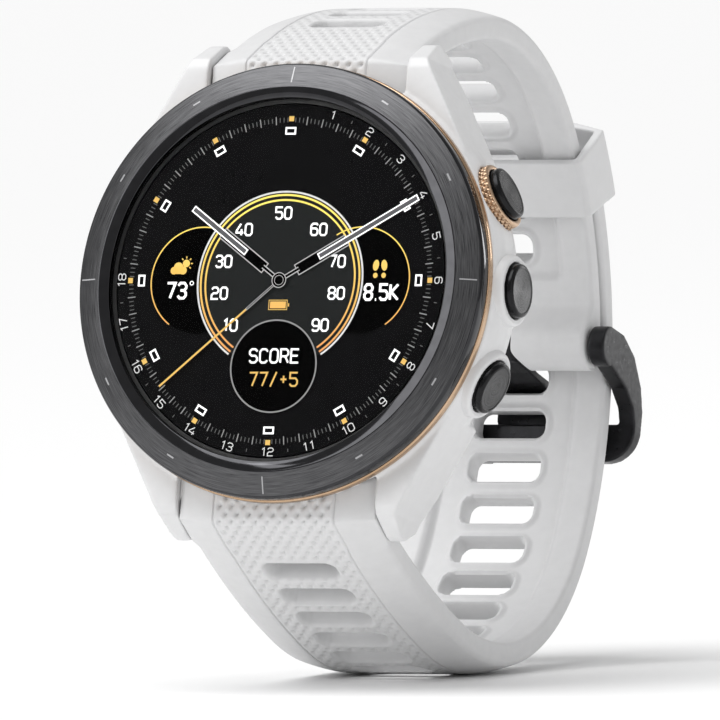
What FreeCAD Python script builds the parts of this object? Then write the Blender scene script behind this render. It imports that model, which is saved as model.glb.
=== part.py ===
import FreeCAD, Part
import math
import os

from FreeCAD import Vector, Placement, Rotation

# A round golf GPS watch on a closed silicone band, standing on the back of its band.
# It is modelled in the watch's own directions and turned into the standing pose at the end:
#   x = u, towards 3 o'clock (the button side)
#   y = v, towards 12 o'clock
#   z = n, out of the dial, with n = 0 at the printed dial plane
# All sizes are millimetres and degrees.

# ---- standing pose ----
DIAL_LEAN = 12.8            # the dial leans back from upright by this much

# ---- head: radii and levels ----
BEZEL_R = 20.5
LENS_R = 17.07
BEZEL_INNER_R = 17.12
BEZEL_CREST_R = 18.1        # where the polished bevel meets the brushed face
BEZEL_LIP_R = 16.7
LENS_TOP = 0.26
LENS_BOTTOM = -0.54
BEZEL_INNER_TOP = 0.28
BEZEL_CREST = 0.46
BEZEL_FACE_END_R = 20.35
BEZEL_FACE_END = -0.32
BEZEL_WALL_TOP = -0.62
BEZEL_BOTTOM = -1.8
LENS_SEAT = -0.72
DISPLAY_R = 16.6
DISPLAY_BOTTOM = -1.9
TRIM_R = 20.62
TRIM_INNER_R = 19.0
TRIM_BOTTOM = -2.6

CASE_R = 21.1
CASE_TOP_R = 20.72
CAVITY_R = 17.9
CAVITY_TOP = -3.0
CASE_FLOOR = -10.0
BACK_SEAT = -9.05
BACK_R = 18.4
BACK_EDGE = -9.7
BACK_FACE = -10.75
SENSOR_R = 8.9
SENSOR_TOP = -10.0
SENSOR_FACE = -11.5
GAP = 0.05                  # assembly gap round static round parts
SCREW_CIRCLE_R = 16.5       # the four case screws sit on this circle
SCREW_R = 0.5
SCREW_HEAD_R = 0.98
SCREW_TOP = -6.0
SCREW_SEAT = -9.65
POST_R = 1.5

# ---- inside the head ----
PLATE_R = 16.5
PLATE_TOP = -2.0
PLATE_BOTTOM = -2.5
BOARD_R = 15.3
BOARD_TOP = -3.6
BOARD_BOTTOM = -4.3
CAN_TOP = -2.6
CELL_R = 11.6
CELL_U = -3.0
CELL_TOP = -4.6
CELL_BOTTOM = -8.1
SENSOR_BOARD_R = 10.5
SENSOR_BOARD_TOP = -8.2
SENSOR_BOARD_BOTTOM = -8.8
CHARGE_V = -13.9            # centre line of the charging socket
CHARGE_HALF_U = 3.6
CHARGE_HALF_V = 1.5
CONTACT_PITCH = 1.6
CONTACT_R = 0.4

# ---- lugs ----
LUG_GAP_HALF = 10.1         # half of the 20 mm band gap, with its clearance
LUG_PLAN = [(10.1, 14.0), (10.1, 23.6), (11.6, 23.6), (12.1, 21.4), (16.85, 12.5), (15.0, 10.0)]
LUG_SIDE = [(9.0, -2.9), (20.6, -2.95), (21.5, -3.35), (23.2, -6.1), (23.4, -7.1),
            (22.3, -9.1), (19.0, -9.9), (9.0, -9.9)]
POCKET_R = 19.5             # case wall behind the band ends

# ---- buttons ----
BUTTON_LEVEL = -6.0
BUTTON_ANGLES = {"upper": 24.7, "middle": 0.0, "lower": -24.7}
CAP_R = 2.5
CAP_FACE = {"upper": 22.35, "middle": 22.2, "lower": 22.2}
CAP_THICK = 1.3
CAP_EDGE = 0.25
COUNTERBORE_R = 2.62
RIM_R = 3.05
RIM_BASE_R = 3.3
RIM_FACE = 21.55
GUARD_R = 3.15
GUARD_FACE = 21.6
GUARD_BASE = 19.85
STEM_R = 0.75
STEM_END = 16.8
BUSH_BORE_R = 0.8
BUSH_R = 1.3
BUSH_INNER = 17.35
BUSH_OUTER = 20.1
SWITCH_FACE = 16.1
SWITCH_SIDE = 3.0
SWITCH_DEPTH = 1.4
CLIP_GROOVE_FROM = 17.0
CLIP_GROOVE_TO = 17.3
CLIP_GROOVE_R = 0.55
GUARD_TEETH = 36

# ---- band ----
BAND_HALF = 9.75            # half the band's width
BAND_EDGE_T = 1.9           # thickness at the edges
BAND_CROWN_T = 3.0          # thickness at the crowned middle
CROWN_HALF = 5.9
TROUGH_HALF = 6.3           # shallow channel along the inner face
TROUGH_T = 0.8
CLASP_LAYER = 2.85          # how far the free end rides outside the buckle strap

# Buckle strap: where its inner face leaves the upper lugs, then (radius, turn) down to the buckle.
SHORT_START = (20.7, -7.3)
SHORT_HEADING = -57.0
SHORT_BENDS = [(44.0, 21.0), (21.2, 59.0), (33.4, 35.0)]
CLASP_R = 33.4              # radius of the buckle strap's inner face at the clasp
# Hole strap: from its tip in the keeper, down the back and round to the lower lugs.
LONG_TIP_ANGLE = 36.4       # tip's direction from the clasp arc's centre, off straight back
LONG_BENDS = [(CLASP_R + CLASP_LAYER, 57.8), (20.4, 60.2), (26.2, 21.2), (85.0, 13.2)]
LUG_STUB = 3.8              # straight run of each strap into its lugs

SLOT_LENGTH = 7.3
SLOT_HEIGHT = 2.6
SLOT_CORNER_R = 1.0
SLOT_PITCH = 4.25
SHORT_SLOT_FIRST = 6.3
SHORT_SLOTS = 11
LONG_SLOT_FIRST = 7.88      # first slot's distance from the tip; the fourth takes the tongue
LONG_SLOTS = 19
EVEN_SLOTS = 7              # slots at the full pitch, counted from the tip
CLOSER_SLOTS = 7            # slots after them that sit a little closer together
CLOSER_BY = 1.35            # the total by which those bring the last slots nearer the tip
TIP_CORNER_R = 4.0
SHORT_END_TRIM = 5.5        # the buckle strap's last arc stops this many degrees before the pin
EDGE_CHAMFER = 0.4
TROUGH_SLOPE = 0.5

BAR_V = 21.2                # spring bar axis, mirrored for the lower lugs
BAR_N = -7.0
BAR_R = 0.75
BARREL_R = 1.6
BAR_TIP_R = 0.45
BAR_TIP_END = 10.75
BAR_BODY_END = 9.6
RELEASE_TRAVEL = 1.1
LEVER_U = 6.2

# ---- clasp ----
PIN_V = 2.7
PIN_N = -50.4
PIN_R = 0.75
PIN_BORE_R = 0.82
BULGE_R = 2.3
FRAME_HALF = 11.7
FRAME_INNER_HALF = 10.05
FRAME_END_V = -7.2
BAR_TOP_V = -3.6
FRAME_CORNER_R = 3.0
TONGUE_HALF = 2.05
TONGUE_WIDE_HALF = 3.1
KEEPER_FROM = 30.4          # keeper's lower edge, in degrees round the clasp arc
KEEPER_TO = 40.6
PIN_END = FRAME_HALF - 0.6  # the pin ends blind inside the arms
PIN_BOSS_R = 1.9
TONGUE_RING_R = 1.55
TONGUE_TIP_HALF = 2.3
TONGUE_SEAT_N = -58.2
NOTCH_HALF = 2.3
NOTCH_MOUTH_HALF = 3.6


# ---- small helpers ----

def polygon_face(points, to3d):
    """Flat face through the 2-D points, placed in space by to3d."""
    corners = [to3d(a, b) for a, b in points]
    return Part.Face(Part.makePolygon(corners + [corners[0]]))


def revolved(profile):
    """Solid of revolution about the z axis from (radius, level) points."""
    face = polygon_face(profile, lambda r, n: Vector(r, 0, n))
    return face.revolve(Vector(0, 0, 0), Vector(0, 0, 1), 360.0)


def disc(radius, low, high, u=0.0, v=0.0):
    return Part.makeCylinder(radius, high - low, Vector(u, v, low))


def ring(inner, outer, low, high):
    return disc(outer, low, high).cut(disc(inner, low - 1, high + 1))


def block(u0, u1, v0, v1, n0, n1):
    return Part.makeBox(u1 - u0, v1 - v0, n1 - n0, Vector(u0, v0, n0))


def across(points, half):
    """Prism of a (v, n) side outline, reaching half to each side of the middle."""
    face = polygon_face(points, lambda v, n: Vector(-half, v, n))
    return face.extrude(Vector(2 * half, 0, 0))


def crossbar(radius, v, n, u0, u1):
    """Round bar parallel to the 3-9 o'clock line."""
    return Part.makeCylinder(radius, u1 - u0, Vector(u0, v, n), Vector(1, 0, 0))


def radial(angle):
    """Placement whose z axis runs outward through a button at this angle."""
    a = math.radians(angle)
    turn = Rotation(Vector(0, 0, 1), Vector(math.cos(a), math.sin(a), 0))
    return Placement(Vector(0, 0, BUTTON_LEVEL), turn)


def on_radius(shape, angle):
    """Move a shape built along z (distance from the watch centre) onto a button's axis."""
    placed = shape.copy()
    placed.Placement = radial(angle)
    return placed


def tube(inner, outer, low, high):
    return Part.makeCylinder(outer, high - low, Vector(0, 0, low)).cut(
        Part.makeCylinder(inner, high - low + 2, Vector(0, 0, low - 1)))


# ---- band paths ----

def heading_vector(heading):
    a = math.radians(heading)
    return Vector(0, math.cos(a), math.sin(a))


def outward(heading):
    """Unit vector out of the band's outer face for a run in this heading."""
    a = math.radians(heading)
    return Vector(0, -math.sin(a), math.cos(a))


def walk(start, heading, bends):
    """Arcs of a band's inner face: (start point, heading, radius, turn, centre) for each.

    Also gives the last arc's end point and its heading."""
    runs = []
    point = Vector(0, start[0], start[1])
    for radius, turn in bends:
        centre = point - outward(heading) * radius
        runs.append((point, heading, radius, turn, centre))
        heading -= turn
        point = centre + outward(heading) * radius
    return runs, point, heading


def clasp_centre():
    runs = walk(SHORT_START, SHORT_HEADING, SHORT_BENDS)[0]
    return runs[-1][4]


def long_walk():
    centre = clasp_centre()
    heading = LONG_TIP_ANGLE - 180.0
    tip = centre + outward(heading) * (CLASP_R + CLASP_LAYER)
    return walk((tip.y, tip.z), heading, LONG_BENDS)


def point_along(runs, distance):
    """Point and heading at a distance along the arcs."""
    for _, heading, radius, turn, centre in runs:
        length = radius * math.radians(turn)
        if distance <= length:
            here = heading - math.degrees(distance / radius)
            return centre + outward(here) * radius, here
        distance -= length
    return centre + outward(heading - turn) * radius, heading - turn


def band_section(point, heading, plain=False):
    """The band's cross-section: crowned outside, a shallow channel inside."""
    half = BAND_HALF
    flat = half - EDGE_CHAMFER
    rim = TROUGH_HALF + TROUGH_SLOPE
    inner = [(flat, 0.0), (-flat, 0.0)]
    if not plain:
        inner = [(flat, 0.0), (rim, 0.0), (TROUGH_HALF, TROUGH_T),
                 (-TROUGH_HALF, TROUGH_T), (-rim, 0.0), (-flat, 0.0)]
    outer = [(-half, EDGE_CHAMFER), (-half, BAND_EDGE_T), (-CROWN_HALF, BAND_CROWN_T),
             (CROWN_HALF, BAND_CROWN_T), (half, BAND_EDGE_T), (half, EDGE_CHAMFER)]
    out = outward(heading)
    return polygon_face(inner + outer, lambda w, t: Vector(w, point.y, point.z) + out * t)


def band_arcs(runs):
    """One solid along the arcs of a band."""
    pieces = []
    for point, heading, _, turn, centre in runs:
        face = band_section(point, heading)
        pieces.append(face.revolve(centre, Vector(-1, 0, 0), turn))
    return pieces[0].multiFuse(pieces[1:]).removeSplitter()


def band_slot(point, heading):
    """Cutter for one slot with rounded corners through the band at a point on its inner face."""
    depth = 7.0
    along = heading_vector(heading)
    out = outward(heading)
    start = point - out * 2.0
    flat_u = SLOT_LENGTH / 2 - SLOT_CORNER_R
    flat_s = SLOT_HEIGHT / 2 - SLOT_CORNER_R

    def bar(half_u, half_s):
        corners = [start + Vector(u, 0, 0) + along * s for u, s in (
            (-half_u, -half_s), (half_u, -half_s), (half_u, half_s), (-half_u, half_s))]
        return Part.Face(Part.makePolygon(corners + [corners[0]])).extrude(out * depth)

    cutter = bar(flat_u, SLOT_HEIGHT / 2).fuse(bar(SLOT_LENGTH / 2, flat_s))
    for u in (-flat_u, flat_u):
        for s in (-flat_s, flat_s):
            corner = start + Vector(u, 0, 0) + along * s
            cutter = cutter.fuse(Part.makeCylinder(SLOT_CORNER_R, depth, corner, out))
    return cutter


def band_end(point, heading, sign):
    """Straight stub of a band into its lugs, with the barrel that holds the spring bar.

    heading points away from the case; sign is +1 at 12 o'clock and -1 at 6 o'clock."""
    away = heading_vector(heading)
    face = band_section(point, heading if sign > 0 else heading + 180.0, plain=True)
    stub = face.extrude(away * -LUG_STUB)
    barrel = crossbar(BARREL_R, sign * BAR_V, BAR_N, -BAND_HALF, BAND_HALF)
    return stub.fuse(barrel)


def trim_band_end(strap, sign):
    """Cut the case, the trim ring, the spring bar and its lever out of a band's end."""
    strap = strap.cut(disc(POCKET_R + 0.1, -12.0, 0.0))
    strap = strap.cut(block(-12, 12, -30, 30, TRIM_BOTTOM - 0.15, 3.0))
    strap = strap.cut(crossbar(BAR_R + GAP, sign * BAR_V, BAR_N, -12, 12))
    v_low = sign * BAR_V - 0.6
    return strap.cut(block(LEVER_U - RELEASE_TRAVEL - 0.6, LEVER_U + 0.6, v_low, v_low + 1.2,
                           BAR_N - 3.0, BAR_N))


# ---- band parts ----

def strap_short():
    runs = walk(SHORT_START, SHORT_HEADING, SHORT_BENDS)[0]
    first = Vector(0, SHORT_START[0], SHORT_START[1])
    # the last arc stops short of the pin, and the rounded pin barrel closes the end
    point, head, radius, turn, centre = runs[-1]
    runs[-1] = (point, head, radius, turn - SHORT_END_TRIM, centre)
    strap = band_arcs(runs)
    strap = strap.fuse(band_end(first, SHORT_HEADING, 1))
    stop = head - (turn - SHORT_END_TRIM)
    inner = centre + outward(stop) * radius
    outer = centre + outward(stop) * (radius + BAND_EDGE_T)
    below = (PIN_V, PIN_N - BULGE_R + 0.05)
    above = (PIN_V - 0.5, PIN_N + BULGE_R - 0.1)
    shoulder = (PIN_V + 1.2, PIN_N + BULGE_R - 0.5)
    neck = across([(inner.y, inner.z), (outer.y, outer.z), below, above, shoulder], BAND_HALF)
    strap = strap.fuse(neck).fuse(crossbar(BULGE_R, PIN_V, PIN_N, -BAND_HALF, BAND_HALF))
    strap = trim_band_end(strap, 1)
    for k in range(SHORT_SLOTS):
        at, facing = point_along(runs, SHORT_SLOT_FIRST + k * SLOT_PITCH)
        strap = strap.cut(band_slot(at, facing))
    # notch for the tongue, flared at the strap's end
    half = NOTCH_HALF
    mouth = NOTCH_MOUTH_HALF
    notch = [(-half, 6.4), (half, 6.4), (half, 2.0), (mouth, 0.6),
             (mouth, -1.0), (-mouth, -1.0), (-mouth, 0.6), (-half, 2.0)]
    cutter = polygon_face(notch, lambda u, v: Vector(u, v, -56.0)).extrude(Vector(0, 0, 9.0))
    strap = strap.cut(cutter)
    return strap.cut(crossbar(PIN_BORE_R, PIN_V, PIN_N, -12, 12))


def long_slot_place(k):
    """Distance of the hole strap's k-th slot from the tip."""
    share = min(max((k - EVEN_SLOTS) / CLOSER_SLOTS, 0.0), 1.0)
    return LONG_SLOT_FIRST + k * SLOT_PITCH - CLOSER_BY * share


def strap_long():
    runs, end, heading = long_walk()
    strap = band_arcs(runs)
    strap = strap.fuse(band_end(end, heading - 180.0, -1))
    strap = trim_band_end(strap, -1)
    # rounded tip
    tip, tip_heading = point_along(runs, 0.0)
    along = heading_vector(tip_heading)
    out = outward(tip_heading)
    depth = 6.0
    for side in (-1, 1):
        base = tip - out - along * 0.1
        edge = base + Vector(side * (BAND_HALF + 0.1), 0, 0)
        centre_line = base + Vector(side * (BAND_HALF - TIP_CORNER_R), 0, 0)
        reach = along * (TIP_CORNER_R + 0.1)
        square = Part.makePolygon([edge, centre_line, centre_line + reach, edge + reach, edge])
        waste = Part.Face(square).extrude(out * depth)
        round_corner = Part.makeCylinder(TIP_CORNER_R, depth, centre_line + reach, out)
        strap = strap.cut(waste.cut(round_corner))
    for k in range(LONG_SLOTS):
        at, facing = point_along(runs, long_slot_place(k))
        strap = strap.cut(band_slot(at, facing))
    return strap.removeSplitter()


def spring_bar(sign):
    """Tube with one fixed tip; the other tip is the sliding release pin."""
    v = sign * BAR_V
    bar = crossbar(BAR_R, v, BAR_N, -BAR_BODY_END, BAR_BODY_END)
    bar = bar.fuse(crossbar(BAR_TIP_R, v, BAR_N, -BAR_TIP_END, -BAR_BODY_END))
    bar = bar.cut(crossbar(BAR_TIP_R + GAP, v, BAR_N, 1.0, BAR_BODY_END + 0.4))
    window_from = LEVER_U - RELEASE_TRAVEL - 0.5
    return bar.cut(block(window_from, LEVER_U + 0.5, v - 0.42, v + 0.42, BAR_N - 1.5, BAR_N))


def release_pin(sign):
    """Sliding tip of a quick-release spring bar, with the thumb lever the wearer pulls."""
    v = sign * BAR_V
    pin = crossbar(BAR_TIP_R, v, BAR_N, 4.4, BAR_TIP_END)
    lever = Part.makeCylinder(0.36, 1.9, Vector(LEVER_U, v, BAR_N - 1.9))
    knob = Part.makeSphere(0.5, Vector(LEVER_U, v, BAR_N - 2.0))
    return pin.fuse(lever).fuse(knob)


def release_spring(sign):
    """Outer envelope of the small coil that pushes the release pin out."""
    v = sign * BAR_V
    return crossbar(0.42, v, BAR_N, 1.05, 4.35).cut(crossbar(0.2, v, BAR_N, 0.0, 5.0))


def keeper():
    """Floating loop that holds the free end down; an angular tube round both straps."""
    centre = clasp_centre()
    half_inner = [(9.95, -0.3), (9.95, 4.95), (6.1, 6.1)]
    half_outer = [(10.4, -1.2), (10.8, -0.6), (10.9, 5.2), (6.5, 7.0)]
    inner = half_inner + [(-w, t) for w, t in reversed(half_inner)]
    outer = half_outer + [(-w, t) for w, t in reversed(half_outer)]
    out = outward(KEEPER_TO - 180.0)
    base = centre + out * CLASP_R

    def placed(w, t):
        return Vector(w, base.y, base.z) + out * t

    shell = polygon_face(outer, placed).cut(polygon_face(inner, placed))
    return shell.Faces[0].revolve(centre, Vector(-1, 0, 0), KEEPER_TO - KEEPER_FROM)


# ---- clasp parts ----

def buckle_frame():
    """Two side arms from the pin, swept outward to the cross bar that the tongue rests on."""
    side = [(4.55, -50.9), (4.3, -53.4), (2.7, -56.2), (0.1, -58.2), (-2.2, -58.95), (FRAME_END_V, -58.75),
            (FRAME_END_V, -57.2), (BAR_TOP_V, -57.15), (-2.2, -56.6), (-0.6, -54.6), (0.85, -51.0)]
    frame = across(side, FRAME_HALF)
    frame = frame.fuse(crossbar(PIN_BOSS_R, PIN_V, PIN_N, -FRAME_HALF, FRAME_HALF))
    frame = frame.cut(block(-FRAME_INNER_HALF, FRAME_INNER_HALF, BAR_TOP_V, 8.0, -62.0, -45.0))
    # the lower corners are rounded as seen from behind
    for s in (-1, 1):
        corner_u = FRAME_HALF - FRAME_CORNER_R
        corner_v = FRAME_END_V + FRAME_CORNER_R
        u0 = min(s * corner_u, s * (FRAME_HALF + 0.5))
        waste = block(u0, u0 + FRAME_CORNER_R + 0.5, FRAME_END_V - 0.5, corner_v, -61.0, -55.0)
        waste = waste.cut(disc(FRAME_CORNER_R, -62.0, -54.0, s * corner_u, corner_v))
        frame = frame.cut(waste)
    # seat for the tongue's tip on the bar, and the pin's blind holes
    seat = TONGUE_WIDE_HALF + 0.2
    frame = frame.cut(block(-seat, seat, FRAME_END_V - 0.8, BAR_TOP_V + 1.0, -60.0, TONGUE_SEAT_N))
    return frame.cut(crossbar(PIN_R, PIN_V, PIN_N, -PIN_END, PIN_END))


def buckle_tongue():
    """Tongue: a ring on the pin, a plate through the band's slot, and a tip over the bar."""
    outer_face = [(PIN_V + 0.8, PIN_N - 1.3), (1.6, -53.2), (0.9, -54.6), (0.3, -57.0), (0.35, -58.6),
                  (-0.1, -59.15), (-6.4, -59.15), (-6.9, -58.8)]
    inner_face = [(-6.9, -58.25), (-1.2, -58.25), (-0.95, -57.0), (-0.3, -54.2),
                  (0.5, -52.4), (PIN_V - 1.5, PIN_N + 0.2)]
    plate = across(outer_face + inner_face, TONGUE_WIDE_HALF)
    half_plan = [(TONGUE_HALF, 6.0), (TONGUE_HALF, 1.5), (TONGUE_WIDE_HALF, -0.1),
                 (TONGUE_WIDE_HALF, -3.0), (TONGUE_TIP_HALF, -7.0)]
    plan = half_plan + [(-u, v) for u, v in reversed(half_plan)]
    prism = polygon_face(plan, lambda u, v: Vector(u, v, -62.0)).extrude(Vector(0, 0, 20.0))
    tongue = plate.common(prism)
    tongue = tongue.fuse(crossbar(TONGUE_RING_R, PIN_V, PIN_N, -TONGUE_HALF, TONGUE_HALF))
    return tongue.cut(crossbar(PIN_BORE_R, PIN_V, PIN_N, -TONGUE_HALF - 1, TONGUE_HALF + 1))


def buckle_pin():
    return crossbar(PIN_R, PIN_V, PIN_N, -PIN_END, PIN_END)


# ---- head parts ----

def screw_places():
    """(u, v) of the four case screws."""
    angles = [math.radians(45 + 90 * k) for k in range(4)]
    return [(SCREW_CIRCLE_R * math.cos(a), SCREW_CIRCLE_R * math.sin(a)) for a in angles]


def case_body():
    """White polymer case: a round wall with four integral lugs, screw posts and button bores."""
    wall = revolved([(17.0, -1.85), (18.9, -1.85), (18.9, TRIM_BOTTOM), (CASE_TOP_R, TRIM_BOTTOM),
                     (CASE_TOP_R + 0.18, -3.4), (CASE_R, -4.6), (CASE_R, -6.6), (20.4, -8.8),
                     (19.4, CASE_FLOOR),
                     (BACK_R + GAP, CASE_FLOOR), (BACK_R + GAP, BACK_SEAT), (CAVITY_R, BACK_SEAT),
                     (CAVITY_R, CAVITY_TOP), (17.0, CAVITY_TOP)])
    lug_prism = across(LUG_SIDE, 20.0)
    hollow = disc(CAVITY_R + 1.0, -13.0, 0.0)
    for su in (-1, 1):
        outline = [(su * u, v) for u, v in LUG_PLAN]
        plan = polygon_face(outline, lambda u, v: Vector(u, v, -12.0)).extrude(Vector(0, 0, 12.0))
        lug = plan.common(lug_prism)
        wall = wall.fuse(lug.cut(hollow))
        wall = wall.fuse(lug.mirror(Vector(0, 0, 0), Vector(0, 1, 0)).cut(hollow))
    # pockets for the band ends between the lugs
    for sv in (-1, 1):
        v0 = min(sv * 12.0, sv * 30.0)
        pocket = block(-LUG_GAP_HALF, LUG_GAP_HALF, v0, v0 + 18.0, -14.0, TRIM_BOTTOM - 0.1)
        wall = wall.cut(pocket.cut(disc(POCKET_R, -15.0, 0.0)))
        bar_reach = BAR_TIP_END + 0.1
        wall = wall.cut(crossbar(BAR_TIP_R + GAP, sv * BAR_V, BAR_N, -bar_reach, bar_reach))
    # raised rims round the two plain buttons
    for name in ("middle", "lower"):
        rim = Part.makeCone(RIM_BASE_R, RIM_R, 0.55, Vector(0, 0, 20.35))
        rim = rim.fuse(Part.makeCylinder(RIM_R, RIM_FACE - 20.9, Vector(0, 0, 20.9)))
        rim = rim.fuse(Part.makeCylinder(RIM_BASE_R, 1.0, Vector(0, 0, 19.35)))
        wall = wall.fuse(on_radius(rim, BUTTON_ANGLES[name]))
    for name, angle in BUTTON_ANGLES.items():
        bore = Part.makeCylinder(BUSH_R + 0.02, 6.0, Vector(0, 0, 16.0))
        wall = wall.cut(on_radius(bore, angle))
        wide = GUARD_R + 0.02 if name == "upper" else COUNTERBORE_R
        floor = GUARD_BASE if name == "upper" else BUSH_OUTER
        wall = wall.cut(on_radius(Part.makeCylinder(wide, 4.0, Vector(0, 0, floor)), angle))
    # screw posts
    outside = disc(CAVITY_R + 3.5, -12.0, 0.0).cut(disc(CAVITY_R + 0.3, -13.0, 1.0))
    for u, v in screw_places():
        post = disc(POST_R, BACK_SEAT + 0.2, CAVITY_TOP - 1.6, u, v)
        wall = wall.fuse(post.cut(outside))
        wall = wall.cut(disc(SCREW_R + 0.02, BACK_SEAT - 0.45, SCREW_TOP + 0.5, u, v))
    return wall.removeSplitter()


def bezel():
    return revolved([(BEZEL_INNER_R, BEZEL_INNER_TOP), (BEZEL_CREST_R, BEZEL_CREST),
                     (BEZEL_FACE_END_R, BEZEL_FACE_END), (BEZEL_R, BEZEL_WALL_TOP), (BEZEL_R, BEZEL_BOTTOM),
                     (BEZEL_LIP_R, BEZEL_BOTTOM), (BEZEL_LIP_R, LENS_SEAT), (BEZEL_INNER_R, LENS_SEAT)])


def trim_ring():
    return revolved([(TRIM_INNER_R, BEZEL_BOTTOM), (TRIM_R - 0.12, BEZEL_BOTTOM),
                     (TRIM_R, BEZEL_BOTTOM - 0.14), (TRIM_R, TRIM_BOTTOM), (TRIM_INNER_R, TRIM_BOTTOM)])


def lens():
    edge = 0.12
    return revolved([(0, LENS_BOTTOM), (LENS_R, LENS_BOTTOM), (LENS_R, LENS_TOP - edge),
                     (LENS_R - edge, LENS_TOP), (0, LENS_TOP)])


def lens_gasket():
    return ring(BEZEL_LIP_R + 0.03, BEZEL_INNER_R - 0.03, LENS_SEAT, LENS_BOTTOM)


def display_panel():
    return disc(DISPLAY_R, DISPLAY_BOTTOM, LENS_BOTTOM - 0.02)


def display_flex():
    """Ribbon from the panel's edge, down past the chassis plate to the board."""
    return block(-4.0, 4.0, -15.6, -15.35, -3.4, DISPLAY_BOTTOM)


def chassis_plate():
    plate = disc(PLATE_R, PLATE_BOTTOM, PLATE_TOP)
    plate = plate.cut(block(-4.5, 4.5, -17.5, -15.0, -3.0, -1.5))
    for k in range(3):
        a = math.radians(90 + 120 * k)
        plate = plate.cut(disc(3.0, -3.0, -1.5, 9.0 * math.cos(a), 9.0 * math.sin(a)))
    return plate


def antenna_ring():
    """Broken ring antenna under the rim of the case."""
    band = ring(17.05, CAVITY_R - GAP, -4.3, -3.05)
    return band.cut(block(15.0, 20.0, -1.0, 1.0, -5.0, -2.0))


def main_board():
    board = disc(BOARD_R, BOARD_BOTTOM, BOARD_TOP)
    board = board.cut(block(-4.5, 4.5, -17.5, -14.8, -5.0, -3.0))
    return board.cut(block(13.6, 18.0, -9.0, 9.0, -5.0, -3.0))


def shield_cans():
    plans = [(-11.0, -2.0, -4.0, 8.5), (0.0, 9.5, 1.0, 10.0), (0.5, 8.0, -9.5, -1.0)]
    return Part.makeCompound([block(*plan, BOARD_TOP, CAN_TOP) for plan in plans])


def battery_pad():
    return disc(9.0, CELL_TOP + 0.05, BOARD_BOTTOM, CELL_U, 0.0)


def battery():
    return disc(CELL_R, CELL_BOTTOM, CELL_TOP, CELL_U, 0.0)


def vibration_motor():
    return disc(2.6, -8.0, -5.2, -1.0, 14.6)


def button_switches():
    """Three tact switches on the inside of the case wall, one behind each stem."""
    bodies = []
    for angle in BUTTON_ANGLES.values():
        corner = Vector(-SWITCH_SIDE / 2, -SWITCH_SIDE / 2, SWITCH_FACE - SWITCH_DEPTH)
        body = Part.makeBox(SWITCH_SIDE, SWITCH_SIDE, SWITCH_DEPTH, corner)
        bodies.append(on_radius(body, angle))
    return Part.makeCompound(bodies)


def switch_bracket():
    """Curved carrier strip behind the three switches."""
    strip = ring(13.9, 14.4, -8.0, -4.4)
    sector = block(11.3, 20.0, -9.5, 9.5, -9.0, -4.0)
    strip = strip.common(sector)
    for angle in BUTTON_ANGLES.values():
        side = SWITCH_SIDE + 0.1
        corner = Vector(-side / 2, -side / 2, SWITCH_FACE - SWITCH_DEPTH - GAP)
        seat = Part.makeBox(side, side, 3.0, corner)
        strip = strip.cut(on_radius(seat, angle))
    return strip


def sensor_board():
    return disc(SENSOR_BOARD_R, SENSOR_BOARD_BOTTOM, SENSOR_BOARD_TOP)


def case_back():
    back = revolved([(0, BACK_SEAT), (BACK_R, BACK_SEAT), (BACK_R, BACK_EDGE), (17.2, -10.25),
                     (11.0, BACK_FACE), (0, BACK_FACE)])
    back = back.cut(disc(SENSOR_R + GAP, BACK_FACE - 1.0, SENSOR_TOP))
    back = back.cut(block(-CHARGE_HALF_U, CHARGE_HALF_U, CHARGE_V - CHARGE_HALF_V,
                          CHARGE_V + CHARGE_HALF_V, BACK_FACE - 0.25, -9.6))
    for u, v in screw_places():
        back = back.cut(disc(SCREW_R + 0.15, -12.0, -8.0, u, v))
        back = back.cut(disc(SCREW_HEAD_R + 0.07, -12.0, SCREW_SEAT, u, v))
    return back


def case_back_seal():
    return ring(17.2, CAVITY_R - 0.02, BACK_SEAT, BACK_SEAT + 0.2)


def case_screws():
    screws = []
    for u, v in screw_places():
        head = disc(SCREW_HEAD_R, SCREW_SEAT - 0.55, SCREW_SEAT, u, v)
        screw = head.fuse(disc(SCREW_R, SCREW_SEAT, SCREW_TOP, u, v))
        screws.append(screw.cut(block(u - 0.8, u + 0.8, v - 0.12, v + 0.12, -10.5, -10.0)))
    return Part.makeCompound(screws)


def sensor_window():
    edge = 0.5
    return revolved([(0, SENSOR_TOP), (SENSOR_R, SENSOR_TOP), (SENSOR_R, SENSOR_FACE + edge),
                     (SENSOR_R - edge, SENSOR_FACE), (0, SENSOR_FACE)])


def charge_socket():
    """Insulating block that carries the charging contacts."""
    half_u = CHARGE_HALF_U - GAP
    half_v = CHARGE_HALF_V - GAP
    socket = block(-half_u, half_u, CHARGE_V - half_v, CHARGE_V + half_v, -10.0, -9.6)
    for u in contact_places():
        socket = socket.cut(disc(CONTACT_R + 0.02, -11.0, -9.0, u, CHARGE_V))
    return socket


def contact_places():
    """u of the four charging contacts."""
    return [CONTACT_PITCH * (k - 1.5) for k in range(4)]


def charge_contacts():
    return Part.makeCompound([disc(CONTACT_R, -10.3, -9.6, u, CHARGE_V) for u in contact_places()])


def button_guard():
    """Knurled metal collar round the upper button."""
    collar = tube(COUNTERBORE_R, GUARD_R, GUARD_BASE, GUARD_FACE)
    for k in range(GUARD_TEETH):
        a = 2 * math.pi * k / GUARD_TEETH
        foot = Vector(GUARD_R * math.cos(a), GUARD_R * math.sin(a), GUARD_BASE + 0.9)
        groove = Part.makeCylinder(0.09, 2.4, foot)
        collar = collar.cut(groove)
    return on_radius(collar, BUTTON_ANGLES["upper"])


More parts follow.
